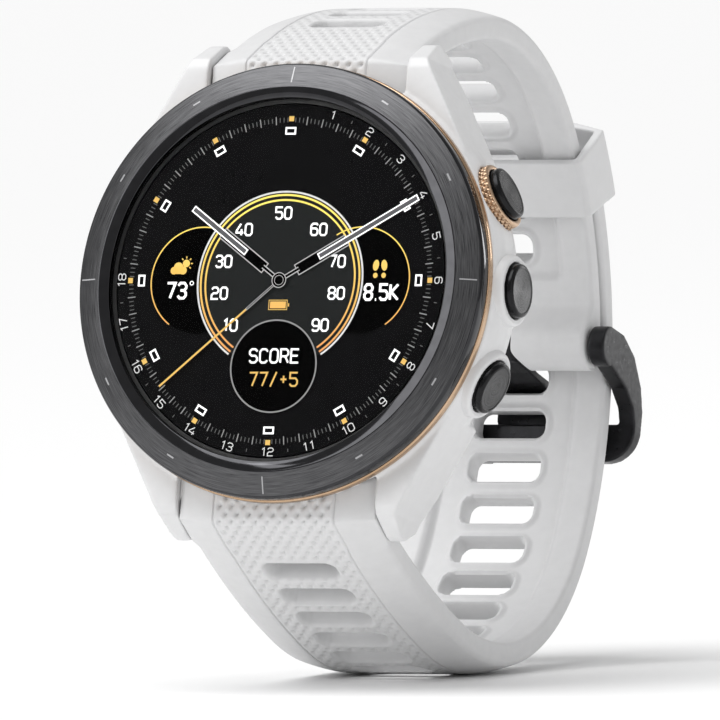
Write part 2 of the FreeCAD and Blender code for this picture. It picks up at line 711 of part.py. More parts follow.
def button(name):
    """Button cap with its stem in one piece; the stem is grooved for its clip."""
    face = CAP_FACE[name]
    inner = face - CAP_THICK
    profile = [(0, STEM_END), (STEM_R, STEM_END), (STEM_R, CLIP_GROOVE_FROM),
               (CLIP_GROOVE_R, CLIP_GROOVE_FROM), (CLIP_GROOVE_R, CLIP_GROOVE_TO), (STEM_R, CLIP_GROOVE_TO),
               (STEM_R, inner), (CAP_R, inner), (CAP_R, face - CAP_EDGE), (CAP_R - CAP_EDGE, face), (0, face)]
    turned = revolved(profile)
    return on_radius(turned, BUTTON_ANGLES[name])


def button_bush(name):
    bush = tube(BUSH_BORE_R, BUSH_R, BUSH_INNER, BUSH_OUTER)
    groove = tube(BUSH_BORE_R - 0.2, 1.15, 18.5, 19.1)
    return on_radius(bush.cut(groove), BUTTON_ANGLES[name])


def button_seal(name):
    seal = Part.makeTorus(0.97, 0.17, Vector(0, 0, 18.8))
    return on_radius(seal, BUTTON_ANGLES[name])


def button_spring(name):
    """Conical spring washer between the bush and the cap."""
    foot = BUSH_OUTER + 0.02
    top = CAP_FACE[name] - CAP_THICK - 0.02
    profile = [(1.0, foot), (1.15, foot), (2.3, top), (2.15, top)]
    cone = revolved(profile)
    return on_radius(cone, BUTTON_ANGLES[name])


def button_clip(name):
    clip = tube(CLIP_GROOVE_R + 0.01, 1.35, CLIP_GROOVE_FROM + 0.04, CLIP_GROOVE_TO - 0.04)
    gap = Part.makeBox(3.0, 0.8, 1.0, Vector(0.0, -0.4, 16.8))
    return on_radius(clip.cut(gap), BUTTON_ANGLES[name])


# ---- the whole watch ----

def all_parts():
    parts = {
        "case_body": case_body(), "bezel": bezel(), "trim_ring": trim_ring(), "lens": lens(),
        "lens_gasket": lens_gasket(), "display_panel": display_panel(), "display_flex": display_flex(),
        "chassis_plate": chassis_plate(), "antenna_ring": antenna_ring(), "main_board": main_board(),
        "shield_cans": shield_cans(), "battery_pad": battery_pad(), "battery": battery(),
        "vibration_motor": vibration_motor(), "button_switches": button_switches(),
        "switch_bracket": switch_bracket(), "sensor_board": sensor_board(), "case_back": case_back(),
        "case_back_seal": case_back_seal(), "case_screws": case_screws(), "sensor_window": sensor_window(),
        "charge_socket": charge_socket(), "charge_contacts": charge_contacts(),
        "button_guard": button_guard(),
        "strap_short": strap_short(), "strap_long": strap_long(), "keeper": keeper(),
        "buckle_frame": buckle_frame(), "buckle_tongue": buckle_tongue(), "buckle_pin": buckle_pin(),
    }
    for name in BUTTON_ANGLES:
        parts["button_" + name] = button(name)
        parts["button_bush_" + name] = button_bush(name)
        parts["button_seal_" + name] = button_seal(name)
        parts["button_spring_" + name] = button_spring(name)
        parts["button_clip_" + name] = button_clip(name)
    for name, sign in (("upper", 1), ("lower", -1)):
        parts["spring_bar_" + name] = spring_bar(sign)
        parts["release_pin_" + name] = release_pin(sign)
        parts["release_spring_" + name] = release_spring(sign)
    return parts


def standing(parts):
    """Turn the watch into its standing pose, lowest point on z = 0, box centred on x and y."""
    turn = Placement(Vector(0, 0, 0), Rotation(Vector(1, 0, 0), 90.0 - DIAL_LEAN))
    placed = {}
    for name, shape in parts.items():
        moved = shape.copy()
        moved.Placement = turn.multiply(moved.Placement)
        placed[name] = moved
    box = FreeCAD.BoundBox()
    for shape in placed.values():
        box.add(shape.optimalBoundingBox(False))
    shift = Vector(-(box.XMin + box.XMax) / 2, -(box.YMin + box.YMax) / 2, -box.ZMin)
    for shape in placed.values():
        shape.translate(shift)
    print("box", round(box.XLength, 2), round(box.YLength, 2), round(box.ZLength, 2),
          "watch origin at", round(shift.x, 3), round(shift.y, 3), round(shift.z, 3))
    return placed


os.makedirs("parts", exist_ok=True)
for node, solid in standing(all_parts()).items():
    if not solid.isValid() or any(s.Volume <= 0 for s in solid.Solids):
        print("bad solid", node)
    print(node, len(solid.Solids), round(solid.Volume, 2))
    solid.exportStep("parts/" + node + ".step")
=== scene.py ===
import math

import bmesh
import bpy
import numpy as np
from mathutils import Matrix, Vector


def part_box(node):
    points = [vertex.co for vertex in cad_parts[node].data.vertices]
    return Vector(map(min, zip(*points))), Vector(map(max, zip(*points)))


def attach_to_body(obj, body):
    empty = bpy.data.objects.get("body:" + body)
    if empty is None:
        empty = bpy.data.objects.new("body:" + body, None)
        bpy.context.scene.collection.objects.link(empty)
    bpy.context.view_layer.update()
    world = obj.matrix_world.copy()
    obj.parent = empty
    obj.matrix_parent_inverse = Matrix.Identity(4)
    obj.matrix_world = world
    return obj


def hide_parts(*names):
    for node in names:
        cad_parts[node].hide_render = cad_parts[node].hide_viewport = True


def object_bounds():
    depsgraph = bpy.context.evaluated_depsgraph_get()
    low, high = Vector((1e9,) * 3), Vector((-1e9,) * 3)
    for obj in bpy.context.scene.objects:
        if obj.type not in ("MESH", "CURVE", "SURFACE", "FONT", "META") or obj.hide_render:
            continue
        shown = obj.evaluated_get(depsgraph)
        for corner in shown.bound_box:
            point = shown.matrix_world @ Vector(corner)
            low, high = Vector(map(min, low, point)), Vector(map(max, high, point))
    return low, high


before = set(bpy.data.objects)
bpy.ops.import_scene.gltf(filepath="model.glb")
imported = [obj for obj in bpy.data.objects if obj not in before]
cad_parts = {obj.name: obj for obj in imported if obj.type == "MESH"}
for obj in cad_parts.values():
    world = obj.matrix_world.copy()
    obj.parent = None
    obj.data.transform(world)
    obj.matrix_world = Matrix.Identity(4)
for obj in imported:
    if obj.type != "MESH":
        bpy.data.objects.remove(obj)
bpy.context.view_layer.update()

# ---- the watch's own axes, at a fixed lean, and its centre, taken from the lens part ----
# u points to 3 o'clock, v to 12 o'clock, n out of the dial. Lengths in this script are millimetres
# and points are turned into the row frame, in metres, by place().
MM = 0.001
LEAN = math.radians(12.8)
U = Vector((1, 0, 0))
V = Vector((0, math.sin(LEAN), math.cos(LEAN)))
N = Vector((0, -math.cos(LEAN), math.sin(LEAN)))
TO_ROW = np.array([U, V, N])
LENS_TO_DIAL = 0.14 * MM


def watch_origin():
    """Centre of the lens's box, moved along n from the lens's mid level to the dial's plane."""
    low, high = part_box("lens")
    return (low + high) / 2 + N * LENS_TO_DIAL


ORIGIN = watch_origin()


def place(u, v, n):
    return ORIGIN + (U * u + V * v + N * n) * MM


def place_all(points):
    return np.array(ORIGIN) + (np.asarray(points, float) @ TO_ROW) * MM


def axes_matrix(x, y, z, origin):
    """Transform with these axes and this origin."""
    rows = [(x[i], y[i], z[i], origin[i]) for i in range(3)]
    return Matrix((*rows, (0, 0, 0, 1)))


WATCH = axes_matrix(U, V, N, ORIGIN)


# ---- piece helpers ----

def new_object(name, points, faces, mats, face_mats=None, smooth=True):
    """Mesh object from points in metres, with its materials."""
    mesh = bpy.data.meshes.new(name)
    mesh.from_pydata(points, [], faces)
    obj = bpy.data.objects.new(name, mesh)
    bpy.context.scene.collection.objects.link(obj)
    for m in mats:
        mesh.materials.append(m)
    if face_mats is not None:
        mesh.polygons.foreach_set("material_index", np.asarray(face_mats, np.int32))
    if smooth:
        mesh.shade_smooth()
    return obj


def attach(obj, body, replaces=()):
    """Puts a piece on its CAD body, in place of the nodes it stands for."""
    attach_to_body(obj, body)
    if replaces:
        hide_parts(*replaces)
    return obj


def add_mesh(name, points, faces, mats, body="watch", slot=None, replaces=(), smooth=True, local=False,
             face_mats=None):
    """Mesh piece from points in the watch frame (mm), riding on a CAD body.

    local keeps the watch's axes as the object's own, for materials that follow the dial's circle."""
    points = np.asarray(points, float)
    co = points * MM if local else place_all(points)
    faces = [list(map(int, f)) for f in faces]
    obj = new_object(name, co.tolist(), faces, mats, face_mats, smooth)
    if local:
        obj.matrix_world = WATCH
    return attach(obj, body, replaces)


def tidy_mesh(obj, sharp=32.0):
    """Weld, point the normals outward and keep crisp edges crisp."""
    bm = bmesh.new()
    bm.from_mesh(obj.data)
    bmesh.ops.remove_doubles(bm, verts=bm.verts, dist=1e-7)
    bmesh.ops.dissolve_degenerate(bm, edges=bm.edges, dist=1e-8)
    bmesh.ops.recalc_face_normals(bm, faces=bm.faces)
    limit = math.radians(sharp)
    for e in bm.edges:
        e.smooth = not (len(e.link_faces) == 2 and e.calc_face_angle(0) > limit)
    bm.to_mesh(obj.data)
    bm.free()


# ---- material helpers ----
GRAIN_DEPTH = 0.02 * MM
BRUSH_DEPTH = 0.01 * MM
ROUGH_SWING = 0.07


def empty_material(name):
    m = bpy.data.materials.new(name)
    m.use_nodes = True
    nodes = m.node_tree.nodes
    nodes.clear()
    return m, nodes, m.node_tree.links, nodes.new("ShaderNodeOutputMaterial")


def material(name):
    m, nodes, links, out = empty_material(name)
    shader = nodes.new("ShaderNodeBsdfPrincipled")
    links.new(shader.outputs[0], out.inputs[0])
    return m, nodes, links, shader


def noise_of(nodes, links, scale, detail=4.0):
    coord = nodes.new("ShaderNodeTexCoord")
    noise = nodes.new("ShaderNodeTexNoise")
    noise.inputs["Scale"].default_value = scale
    noise.inputs["Detail"].default_value = detail
    links.new(coord.outputs["Object"], noise.inputs["Vector"])
    return noise.outputs[0]


def ramp(nodes, links, source, low, high, at=(0.3, 0.7)):
    """Turns a value into a colour between low and high."""
    r = nodes.new("ShaderNodeValToRGB")
    for k, colour in enumerate((low, high)):
        r.color_ramp.elements[k].position = at[k]
        r.color_ramp.elements[k].color = (*colour, 1)
    links.new(source, r.inputs[0])
    return r.outputs[0]


def add_bump(nodes, links, shader, height, strength, depth):
    node = nodes.new("ShaderNodeBump")
    node.inputs["Strength"].default_value = strength
    node.inputs["Distance"].default_value = depth
    links.new(height, node.inputs["Height"])
    links.new(node.outputs[0], shader.inputs["Normal"])


def grained(name, colour, vary, roughness, rough_vary=0.06, metallic=0.0, scale=900.0, bump=0.0,
            bump_scale=6000.0, coat=0.0, coat_rough=0.1, specular=0.5):
    """A moulded or coated finish: slow colour drift, fine roughness drift and a fine surface grain."""
    m, nodes, links, shader = material(name)
    dark = tuple(c * (1 - vary) for c in colour)
    light = tuple(min(1.0, c * (1 + vary)) for c in colour)
    tint = noise_of(nodes, links, scale)
    links.new(ramp(nodes, links, tint, dark, light), shader.inputs["Base Color"])
    smoothest = (max(0.0, roughness - rough_vary),) * 3
    roughest = (min(1.0, roughness + rough_vary),) * 3
    rough = noise_of(nodes, links, scale * 2.3)
    links.new(ramp(nodes, links, rough, smoothest, roughest), shader.inputs["Roughness"])
    shader.inputs["Metallic"].default_value = metallic
    shader.inputs["Specular IOR Level"].default_value = specular
    shader.inputs["Coat Weight"].default_value = coat
    shader.inputs["Coat Roughness"].default_value = coat_rough
    if bump:
        add_bump(nodes, links, shader, noise_of(nodes, links, bump_scale, 6.0), bump, GRAIN_DEPTH)
    return m


# ---- finishes ----
WHITE_POLYMER = grained("white_polymer", (0.755, 0.755, 0.76), 0.02, 0.38, 0.05, bump=0.10,
                        bump_scale=9000.0, specular=0.45)
SILICONE = grained("white_silicone", (0.715, 0.715, 0.72), 0.02, 0.52, 0.06, bump=0.14,
                   bump_scale=12000.0, specular=0.4)
KEEPER_SILICONE = grained("keeper_silicone", (0.73, 0.73, 0.735), 0.015, 0.46, 0.05, bump=0.10,
                          bump_scale=12000.0)
BLACK_SATIN = grained("black_satin_metal", (0.022, 0.022, 0.024), 0.18, 0.34, 0.08, metallic=0.75,
                      bump=0.12, bump_scale=9000.0)
BUTTON_SIDE = grained("button_black", (0.016, 0.016, 0.017), 0.2, 0.24, 0.06, metallic=0.8)
PLAIN = {
    "case_polymer": WHITE_POLYMER,
    "silicone": SILICONE,
    "buckle_metal": BLACK_SATIN,
    "button_metal": BUTTON_SIDE,
    "display": grained("display_black", (0.003, 0.003, 0.0035), 0.2, 0.3, 0.03, specular=0.04),
    "seal_rubber": grained("seal_rubber", (0.03, 0.03, 0.03), 0.15, 0.6, 0.1, bump=0.2),
    "flex": grained("flex_ribbon", (0.42, 0.22, 0.05), 0.15, 0.35, 0.08),
    "inner_metal": grained("stamped_metal", (0.55, 0.55, 0.57), 0.08, 0.35, 0.1, metallic=1.0),
    "board": grained("circuit_board", (0.02, 0.12, 0.06), 0.25, 0.4, 0.1, scale=2500.0, bump=0.2,
                     bump_scale=3000.0),
    "can_metal": grained("tinned_can", (0.66, 0.66, 0.67), 0.06, 0.3, 0.1, metallic=1.0),
    "battery_wrap": grained("battery_foil", (0.22, 0.23, 0.26), 0.08, 0.32, 0.1, metallic=0.7, bump=0.3,
                            bump_scale=1500.0),
    "foam": grained("foam_pad", (0.05, 0.05, 0.05), 0.3, 0.9, 0.05, bump=0.6, bump_scale=4000.0),
    "steel": grained("machined_steel", (0.6, 0.6, 0.62), 0.06, 0.26, 0.08, metallic=1.0),
    "back_polymer": grained("back_polymer", (0.70, 0.70, 0.71), 0.02, 0.42, 0.06, bump=0.16,
                            bump_scale=9000.0),
    "sensor_glass": grained("sensor_black", (0.008, 0.008, 0.009), 0.2, 0.07, 0.02, coat=0.6,
                            coat_rough=0.03),
    "contact_gold": grained("contact_gold", (0.83, 0.58, 0.22), 0.06, 0.22, 0.06, metallic=1.0),
    "socket_plastic": grained("socket_plastic", (0.03, 0.03, 0.03), 0.15, 0.5, 0.08),
}


def around_noise(nodes, links, radial_scale, turn_scale):
    """Noise that runs round the watch axis: long streaks in the turning direction."""
    coord = nodes.new("ShaderNodeTexCoord")
    split = nodes.new("ShaderNodeSeparateXYZ")
    flat = nodes.new("ShaderNodeCombineXYZ")
    links.new(coord.outputs["Object"], split.inputs[0])
    for k in (0, 1):
        links.new(split.outputs[k], flat.inputs[k])
    length = nodes.new("ShaderNodeVectorMath")
    length.operation = "LENGTH"
    unit = nodes.new("ShaderNodeVectorMath")
    unit.operation = "NORMALIZE"
    links.new(flat.outputs[0], length.inputs[0])
    links.new(flat.outputs[0], unit.inputs[0])
    parts = nodes.new("ShaderNodeSeparateXYZ")
    links.new(unit.outputs[0], parts.inputs[0])
    joined = nodes.new("ShaderNodeCombineXYZ")
    sources = (parts.outputs[0], parts.outputs[1], length.outputs["Value"])
    for k, scale in enumerate((turn_scale, turn_scale, radial_scale)):
        times = nodes.new("ShaderNodeMath")
        times.operation = "MULTIPLY"
        times.inputs[1].default_value = scale
        links.new(sources[k], times.inputs[0])
        links.new(times.outputs[0], joined.inputs[k])
    noise = nodes.new("ShaderNodeTexNoise")
    noise.inputs["Scale"].default_value = 1.0
    noise.inputs["Detail"].default_value = 5.0
    links.new(joined.outputs[0], noise.inputs["Vector"])
    return noise.outputs[0]


def turned_metal(name, dark, light, roughness, radial_scale, turn_scale=2.0, bump=0.35, anisotropic=0.6):
    """Metal with fine streaks round its axis, as turning or brushing leaves them."""
    m, nodes, links, shader = material(name)
    streaks = around_noise(nodes, links, radial_scale, turn_scale)
    links.new(ramp(nodes, links, streaks, dark, light, (0.32, 0.68)), shader.inputs["Base Color"])
    low = (roughness - ROUGH_SWING,) * 3
    high = (roughness + ROUGH_SWING,) * 3
    links.new(ramp(nodes, links, streaks, low, high), shader.inputs["Roughness"])
    shader.inputs["Metallic"].default_value = 1.0
    shader.inputs["Anisotropic"].default_value = anisotropic
    tangent = nodes.new("ShaderNodeTangent")
    tangent.direction_type = "RADIAL"
    tangent.axis = "Z"
    links.new(tangent.outputs[0], shader.inputs["Tangent"])
    add_bump(nodes, links, shader, streaks, bump, BRUSH_DEPTH)
    return m


BRUSHED = turned_metal("bezel_brushed", (0.055, 0.055, 0.058), (0.15, 0.15, 0.155), 0.33, 26000.0, 9.0,
                       bump=0.22, anisotropic=0.7)
POLISHED = grained("bezel_polished", (0.05, 0.05, 0.053), 0.1, 0.06, 0.015, metallic=1.0)
GOLD = turned_metal("rose_gold_ring", (0.40, 0.26, 0.155), (0.62, 0.44, 0.30), 0.22, 9000.0, bump=0.15)
GOLD_COLLAR = grained("rose_gold_collar", (0.60, 0.42, 0.285), 0.06, 0.3, 0.06, metallic=1.0)
MARK = grained("bezel_mark", (0.42, 0.42, 0.43), 0.05, 0.4, 0.05, metallic=0.5)


def revolve(name, profile, mats, bands=None, segments=256, **kw):
    """Turned piece about the watch axis; bands gives the material index of each profile edge."""
    count = len(profile)
    points = []
    faces = []
    kinds = []
    for k in range(segments):
        a = 2 * math.pi * k / segments
        points += [(r * math.cos(a), r * math.sin(a), n) for r, n in profile]
        k2 = (k + 1) % segments
        for i in range(count):
            j = (i + 1) % count
            faces.append((k * count + i, k2 * count + i, k2 * count + j, k * count + j))
            kinds.append(bands[i] if bands else 0)
    obj = add_mesh(name, points, faces, mats, local=True, face_mats=kinds, **kw)
    tidy_mesh(obj)


def rounded_profile(points, radius=0.06, steps=3):
    """Closed outline with every corner rounded by up to radius."""
    out = []
    count = len(points)
    for i in range(count):
        p = Vector(points[i])
        a = Vector(points[i - 1]) - p
        b = Vector(points[(i + 1) % count]) - p
        cut = min(radius, a.length * 0.4, b.length * 0.4)
        p0 = p + a.normalized() * cut
        p1 = p + b.normalized() * cut
        for k in range(steps + 1):
            t = k / steps
            out.append(tuple(p0 * (1 - t) ** 2 + p * 2 * t * (1 - t) + p1 * t * t))
    return out


# ---- softened copies of CAD shapes: the moulded or cast piece that the plain solid stands for ----

EVEN_FACTOR = 0.5


def softened(node, name, mat, voxel, rounds, body="watch"):
    """Piece with the node's shape and naturally rounded edges, in place of its plain solid."""
    obj = bpy.data.objects.new(name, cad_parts[node].data.copy())
    bpy.context.scene.collection.objects.link(obj)
    weld = obj.modifiers.new("weld", "WELD")
    weld.merge_threshold = 1e-6
    remesh = obj.modifiers.new("remesh", "REMESH")
    remesh.mode = "VOXEL"
    remesh.voxel_size = voxel * MM
    even = obj.modifiers.new("even", "SMOOTH")
    even.factor = EVEN_FACTOR
    even.iterations = rounds
    graph = bpy.context.evaluated_depsgraph_get()
    final = bpy.data.meshes.new_from_object(obj.evaluated_get(graph))
    obj.modifiers.clear()
    obj.data = final
    final.name = name
    final.materials.clear()
    final.materials.append(mat)
    final.shade_smooth()
    attach(obj, body, (node,))


softened("case_body", "case_shell", WHITE_POLYMER, 0.15, 9)
softened("keeper", "keeper_loop", KEEPER_SILICONE, 0.12, 18, "keeper_body")
softened("buckle_frame", "buckle_loop", BLACK_SATIN, 0.11, 12, "buckle_frame_body")
softened("buckle_tongue", "buckle_prong", BLACK_SATIN, 0.09, 5, "buckle_tongue_body")

# ---- straps: path, section and mesh ----
# s runs along the band's inner face and w across it; heights are from that face, outward
LONG_TIP = 36.4
CLASP_R = 33.4
OVERLAP = 2.85
HALF = 9.75
FACE = 3.0
CROWN = 5.9
CROWN_FALL = 0.0015
SHOULDER = 2.95
SHOULDER_DROP = 0.88
CREASE_AT = 6.0
CREASE_DEPTH = 0.20
CREASE_WIDTH = 0.09
EDGE_ROUND = 0.5
LUG_ROUND = 0.14
LUG_FLARE = 0.024
TROUGH_DEPTH = 0.8
TROUGH_HALF = 6.1
TROUGH_SLOPE = 0.8
INNER_ROUND = 0.45
RIM_DEPTH = 0.28
DIMPLE = 0.38
DIMPLE_LENGTH = 0.25
DIMPLE_WIDTH = 0.17
DIMPLES_TO = 5.75
SLANT_COS = 0.9
SLANT_SIN = 0.436
PITCH_W = 1.2
PITCH_S = 0.79
COLUMN_GAP = PITCH_W / 8
CREASE_COLUMNS = [5.8, 5.88, 5.96, 6.04, 6.14, 6.3, 6.5, 6.8]
EDGE_COLUMNS = [9.3, 9.42, 9.52, 9.60, 9.66, 9.70, 9.73, 9.75]
SLOT_LENGTH = 7.3
SLOT_HEIGHT = 2.6
SLOT_CORNER = 1.0
SLOT_PITCH = 4.25
FIRST_SHORT_SLOT = 6.3
FIRST_LONG_SLOT = 7.88
EVEN_SLOTS = 7
CLOSER_SLOTS = 7
CLOSER_BY = 1.35
FAR = 9.0
SNAP_STEP = 0.01
LEAST_SLOPE = 0.3
PIN_ROUND = 2.3
PIN_REACH = 2.299
PIN_LEVEL = -0.23
NOTCH_HALF = 2.3
NOTCH_FLARE = 1.3
NOTCH_DEPTH = 3.7
TIP_CORNER = 4.0
TIP_PLAIN = 3.0
PIN_PLAIN = 6.0
LEDGE_N = -2.74
LEDGE_BEND = 0.9
UNDERSIDE_N = -3.6
CASE_R = 19.95
CASE_R_BELOW = 19.65
LUG_GAP_HALF = 9.9


def heading_dir(h):
    return np.array([math.cos(math.radians(h)), math.sin(math.radians(h))])


def out_dir(h):
    return np.array([-math.sin(math.radians(h)), math.cos(math.radians(h))])


class Path:
    """A band's inner face as a straight stub, arcs, and a straight stub; at(s) gives point and heading."""

    def __init__(self, start, heading, bends):
        self.start = np.array(start, float)
        self.heading = heading
        self.runs = []
        point, h = self.start, heading
        for radius, turn in bends:
            centre = point - out_dir(h) * radius
            self.runs.append((h, radius, turn, centre))
            h -= turn
            point = centre + out_dir(h) * radius
        self.end = point
        self.end_heading = h
        self.length = sum(r * math.radians(t) for _, r, t, _ in self.runs)

    def at(self, s):
        if s <= 0:
            return self.start + heading_dir(self.heading) * s, self.heading
        for h, radius, turn, centre in self.runs:
            size = radius * math.radians(turn)
            if s <= size:
                here = h - math.degrees(s / radius)
                return centre + out_dir(here) * radius, here
            s -= size
        return self.end + heading_dir(self.end_heading) * s, self.end_heading


SHORT = Path((20.7, -7.3), -57.0, [(44.0, 21.0), (21.2, 59.0), (CLASP_R, 35.0)])
CLASP = SHORT.runs[-1][3]
tip_heading = LONG_TIP - 180.0
LONG = Path(CLASP + out_dir(tip_heading) * (CLASP_R + OVERLAP), tip_heading,
            [(CLASP_R + OVERLAP, 57.8), (20.4, 60.2), (26.2, 21.2), (85.0, 13.2)])
S_PIN = SHORT.length - math.radians(0.53) * CLASP_R
# end of each path that meets the case: the path, and 1 at its start or -1 at its end
SHORT_CASE = (SHORT, 1)
LONG_CASE = (LONG, -1)


def smooth(x):
    x = np.clip(x, 0.0, 1.0)
    return x * x * (3 - 2 * x)


def columns():
    """Where the mesh has points across the band: close together at the crown, crease and edge."""
    middle = np.arange(0, 5.72, COLUMN_GAP)
    shoulder = np.arange(7.1, 9.2, 0.36)
    side = np.concatenate([middle, CREASE_COLUMNS, shoulder, EDGE_COLUMNS])
    return np.unique(np.round(np.concatenate([-side, side]), 5))


def slot_distance(s, w, centres):
    """Signed distance in the band's surface to the nearest slot outline, negative inside the slot."""
    best = np.full(s.shape, FAR)
    for c in centres:
        dx = np.abs(w) - (SLOT_LENGTH / 2 - SLOT_CORNER)
        dy = np.abs(s - c) - (SLOT_HEIGHT / 2 - SLOT_CORNER)
        outside = np.hypot(np.maximum(dx, 0), np.maximum(dy, 0))
        best = np.minimum(best, outside + np.minimum(np.maximum(dx, dy), 0) - SLOT_CORNER)
    return best


def dimples(s, w):
    """Staggered rows of small slanted dents over the crown."""
    depth = np.zeros(s.shape)
    row = np.round(s / PITCH_S)
    for shift in (-1, 0, 1):
        r = row + shift
        ds = s - r * PITCH_S
        dw = w - np.mod(r, 2) * 0.5 * PITCH_W
        dw = dw - np.round(dw / PITCH_W) * PITCH_W
        a = ds * SLANT_COS + dw * SLANT_SIN
        b = -ds * SLANT_SIN + dw * SLANT_COS
        depth = np.maximum(depth, np.exp(-((a / DIMPLE_LENGTH) ** 2 + (b / DIMPLE_WIDTH) ** 2)))
    return depth


def snapped(S, W, hole, keep):
    """Moves the points on a slot's edge onto the slot's outline."""
    near = np.zeros(S.shape, bool)
    used = np.zeros(S.shape, bool)
    rows, cols = keep.shape
    for di in (0, 1):
        for dj in (0, 1):
            near[di:rows + di, dj:cols + dj] |= ~keep
            used[di:rows + di, dj:cols + dj] |= keep
    edge = near & used
    for _ in range(2):
        f = hole(S, W)
        gs = (hole(S + SNAP_STEP, W) - f) / SNAP_STEP
        gw = (hole(S, W + SNAP_STEP) - f) / SNAP_STEP
        size = np.maximum(gs * gs + gw * gw, LEAST_SLOPE)
        S = np.where(edge, S - f * gs / size, S)
        W = np.where(edge, W - f * gw / size, W)
    return S, W


def band_faces(keep, shape):
    """Faces of the outer grid, of the inner grid, and of the walls round every slot and edge."""
    total = shape[0] * shape[1]
    index = np.arange(total).reshape(shape)
    ii, jj = np.nonzero(keep)
    a, b, c, d = index[ii, jj], index[ii + 1, jj], index[ii + 1, jj + 1], index[ii, jj + 1]
    faces = [np.column_stack([a, b, c, d]), np.column_stack([d, c, b, a]) + total]
    for first, second, di, dj in ((a, b, 0, -1), (b, c, 1, 0), (c, d, 0, 1), (d, a, -1, 0)):
        ni, nj = ii + di, jj + dj
        inside = (ni >= 0) & (ni < keep.shape[0]) & (nj >= 0) & (nj < keep.shape[1])
        empty = ~inside
        empty[inside] = ~keep[ni[inside], nj[inside]]
        p, r = first[empty], second[empty]
        faces.append(np.column_stack([r, p, p + total, r + total]))
    return np.vstack(faces)


def strap_piece(name, path, s_values, hole, top_of, bottom_of, end, node):
    """Closed band mesh with matching outer and inner grids."""
    S, W = np.meshgrid(s_values, columns(), indexing="ij")
    F = hole(S, W)
    keep = (F[:-1, :-1] + F[1:, :-1] + F[:-1, 1:] + F[1:, 1:]) / 4 > 0
    S, W = snapped(S, W, hole, keep)
    F = np.maximum(hole(S, W), 0)
    T = top_of(S, W, F).ravel()
    B = bottom_of(S, W, F).ravel()
    stations = [path.at(value) for value in S.ravel()]
    base = np.array([point for point, _ in stations])
    outs = np.array([out_dir(heading) for _, heading in stations])
    # the face runs level into the case first, then takes its crown, crease, dents and rounded edges
    wide = W.ravel() * (1 + LUG_FLARE * near_case(S.ravel(), end))
    top = np.column_stack([wide, base + outs * FACE])
    low = np.column_stack([wide, base + outs * B[:, None]])
    top, low, bent, facing = to_case(end, S.ravel(), top, low)
    fall = np.where(bent[:, None], facing, outs)
    top[:, 1:] -= fall * (FACE - T)[:, None]
    faces = band_faces(keep, S.shape)
    used, compact = np.unique(faces, return_inverse=True)
    obj = add_mesh(name, np.vstack([top, low])[used], compact.reshape(faces.shape), [SILICONE],
                   slot="silicone", replaces=(node,))
    tidy_mesh(obj, 48.0)


def round_over(distance, radius):
    """How far a face drops near an edge, for a rounded edge of this radius."""
    x = np.clip((radius - distance) / radius, 0, 1)
    return radius * (1 - np.sqrt(1 - x * x))


def beyond(end, S):
    """Distance past the end of the path towards the case."""
    path, sign = end
    return -S if sign > 0 else S - path.length


def near_case(S, end):
    """1 between the lugs, falling to 0 just beyond them."""
    return smooth((beyond(end, S) + 1.9) / 1.6)


def outer_face(W, near):
    """Outer face height across the band: crowned middle, a crease at its border, convex shoulders."""
    a = np.abs(W)
    x = np.clip((a - CROWN) / (HALF - CROWN), 0, 1)
    face = np.where(a <= CROWN, FACE - CROWN_FALL * a * a, SHOULDER - SHOULDER_DROP * x ** 1.5)
    face = face - CREASE_DEPTH * np.exp(-((a - CREASE_AT) / CREASE_WIDTH) ** 2)
    return face - round_over(HALF - a, EDGE_ROUND) * (1 - near) - round_over(HALF - a, LUG_ROUND) * near


def inner_face(W):
    """Inner face height across the band: a shallow trough between two rails."""
    a = np.abs(W)
    trough = TROUGH_DEPTH * (1 - smooth((a - TROUGH_HALF) / TROUGH_SLOPE))
    return trough + round_over(HALF - a, INNER_ROUND)


def slot_rim(F):
    """Height of the raised rim that each slot has on the inner face."""
    return RIM_DEPTH * (1 - smooth((F - 0.25) / 0.5))


def dents(S, W, F):
    """Depth of the dimples, which stay clear of the crease and of every slot."""
    crown = smooth((DIMPLES_TO - np.abs(W)) / 0.25) * smooth((F - 0.3) / 0.3)
    return DIMPLE * dimples(S, W) * crown


def blend(a, b, k):
    return a * (1 - k) + b * k


def long_slot_place(k):
    """An even pitch from the free end on, then slots that sit gradually closer to it."""
    share = min(max((k - EVEN_SLOTS) / CLOSER_SLOTS, 0.0), 1.0)
    return FIRST_LONG_SLOT + SLOT_PITCH * k - CLOSER_BY * share


SHORT_SLOTS = [FIRST_SHORT_SLOT + SLOT_PITCH * k for k in range(11)]
LONG_SLOTS = [long_slot_place(k) for k in range(19)]


def pin_circle(S, W, side):
    """Height of the round end about the buckle's pin, on its outer (1) or inner (-1) side."""
    x = np.clip(S - S_PIN, -0.6, PIN_REACH)
    ends = round_over(HALF - np.abs(W), EDGE_ROUND) * smooth(S_PIN + PIN_ROUND - S)
    return PIN_LEVEL + side * np.sqrt(PIN_ROUND ** 2 - x * x) - side * ends


def short_hole(S, W):
    """Slots, and the notch that the buckle's tongue swings in."""
    flare = NOTCH_HALF + NOTCH_FLARE * smooth((S - (S_PIN + 0.3)) / 2.2)
    notch = np.maximum(np.abs(W) - flare, (S_PIN - NOTCH_DEPTH) - S)
    return np.minimum(slot_distance(S, W, SHORT_SLOTS), notch)


def short_top(S, W, F):
    body = outer_face(W, near_case(S, SHORT_CASE)) - round_over(F, 0.3)
    body = body - dents(S, W, F) * smooth(S_PIN - PIN_PLAIN - S)
    return blend(body, pin_circle(S, W, 1), smooth((S - (S_PIN - 3.4)) / 3.0))


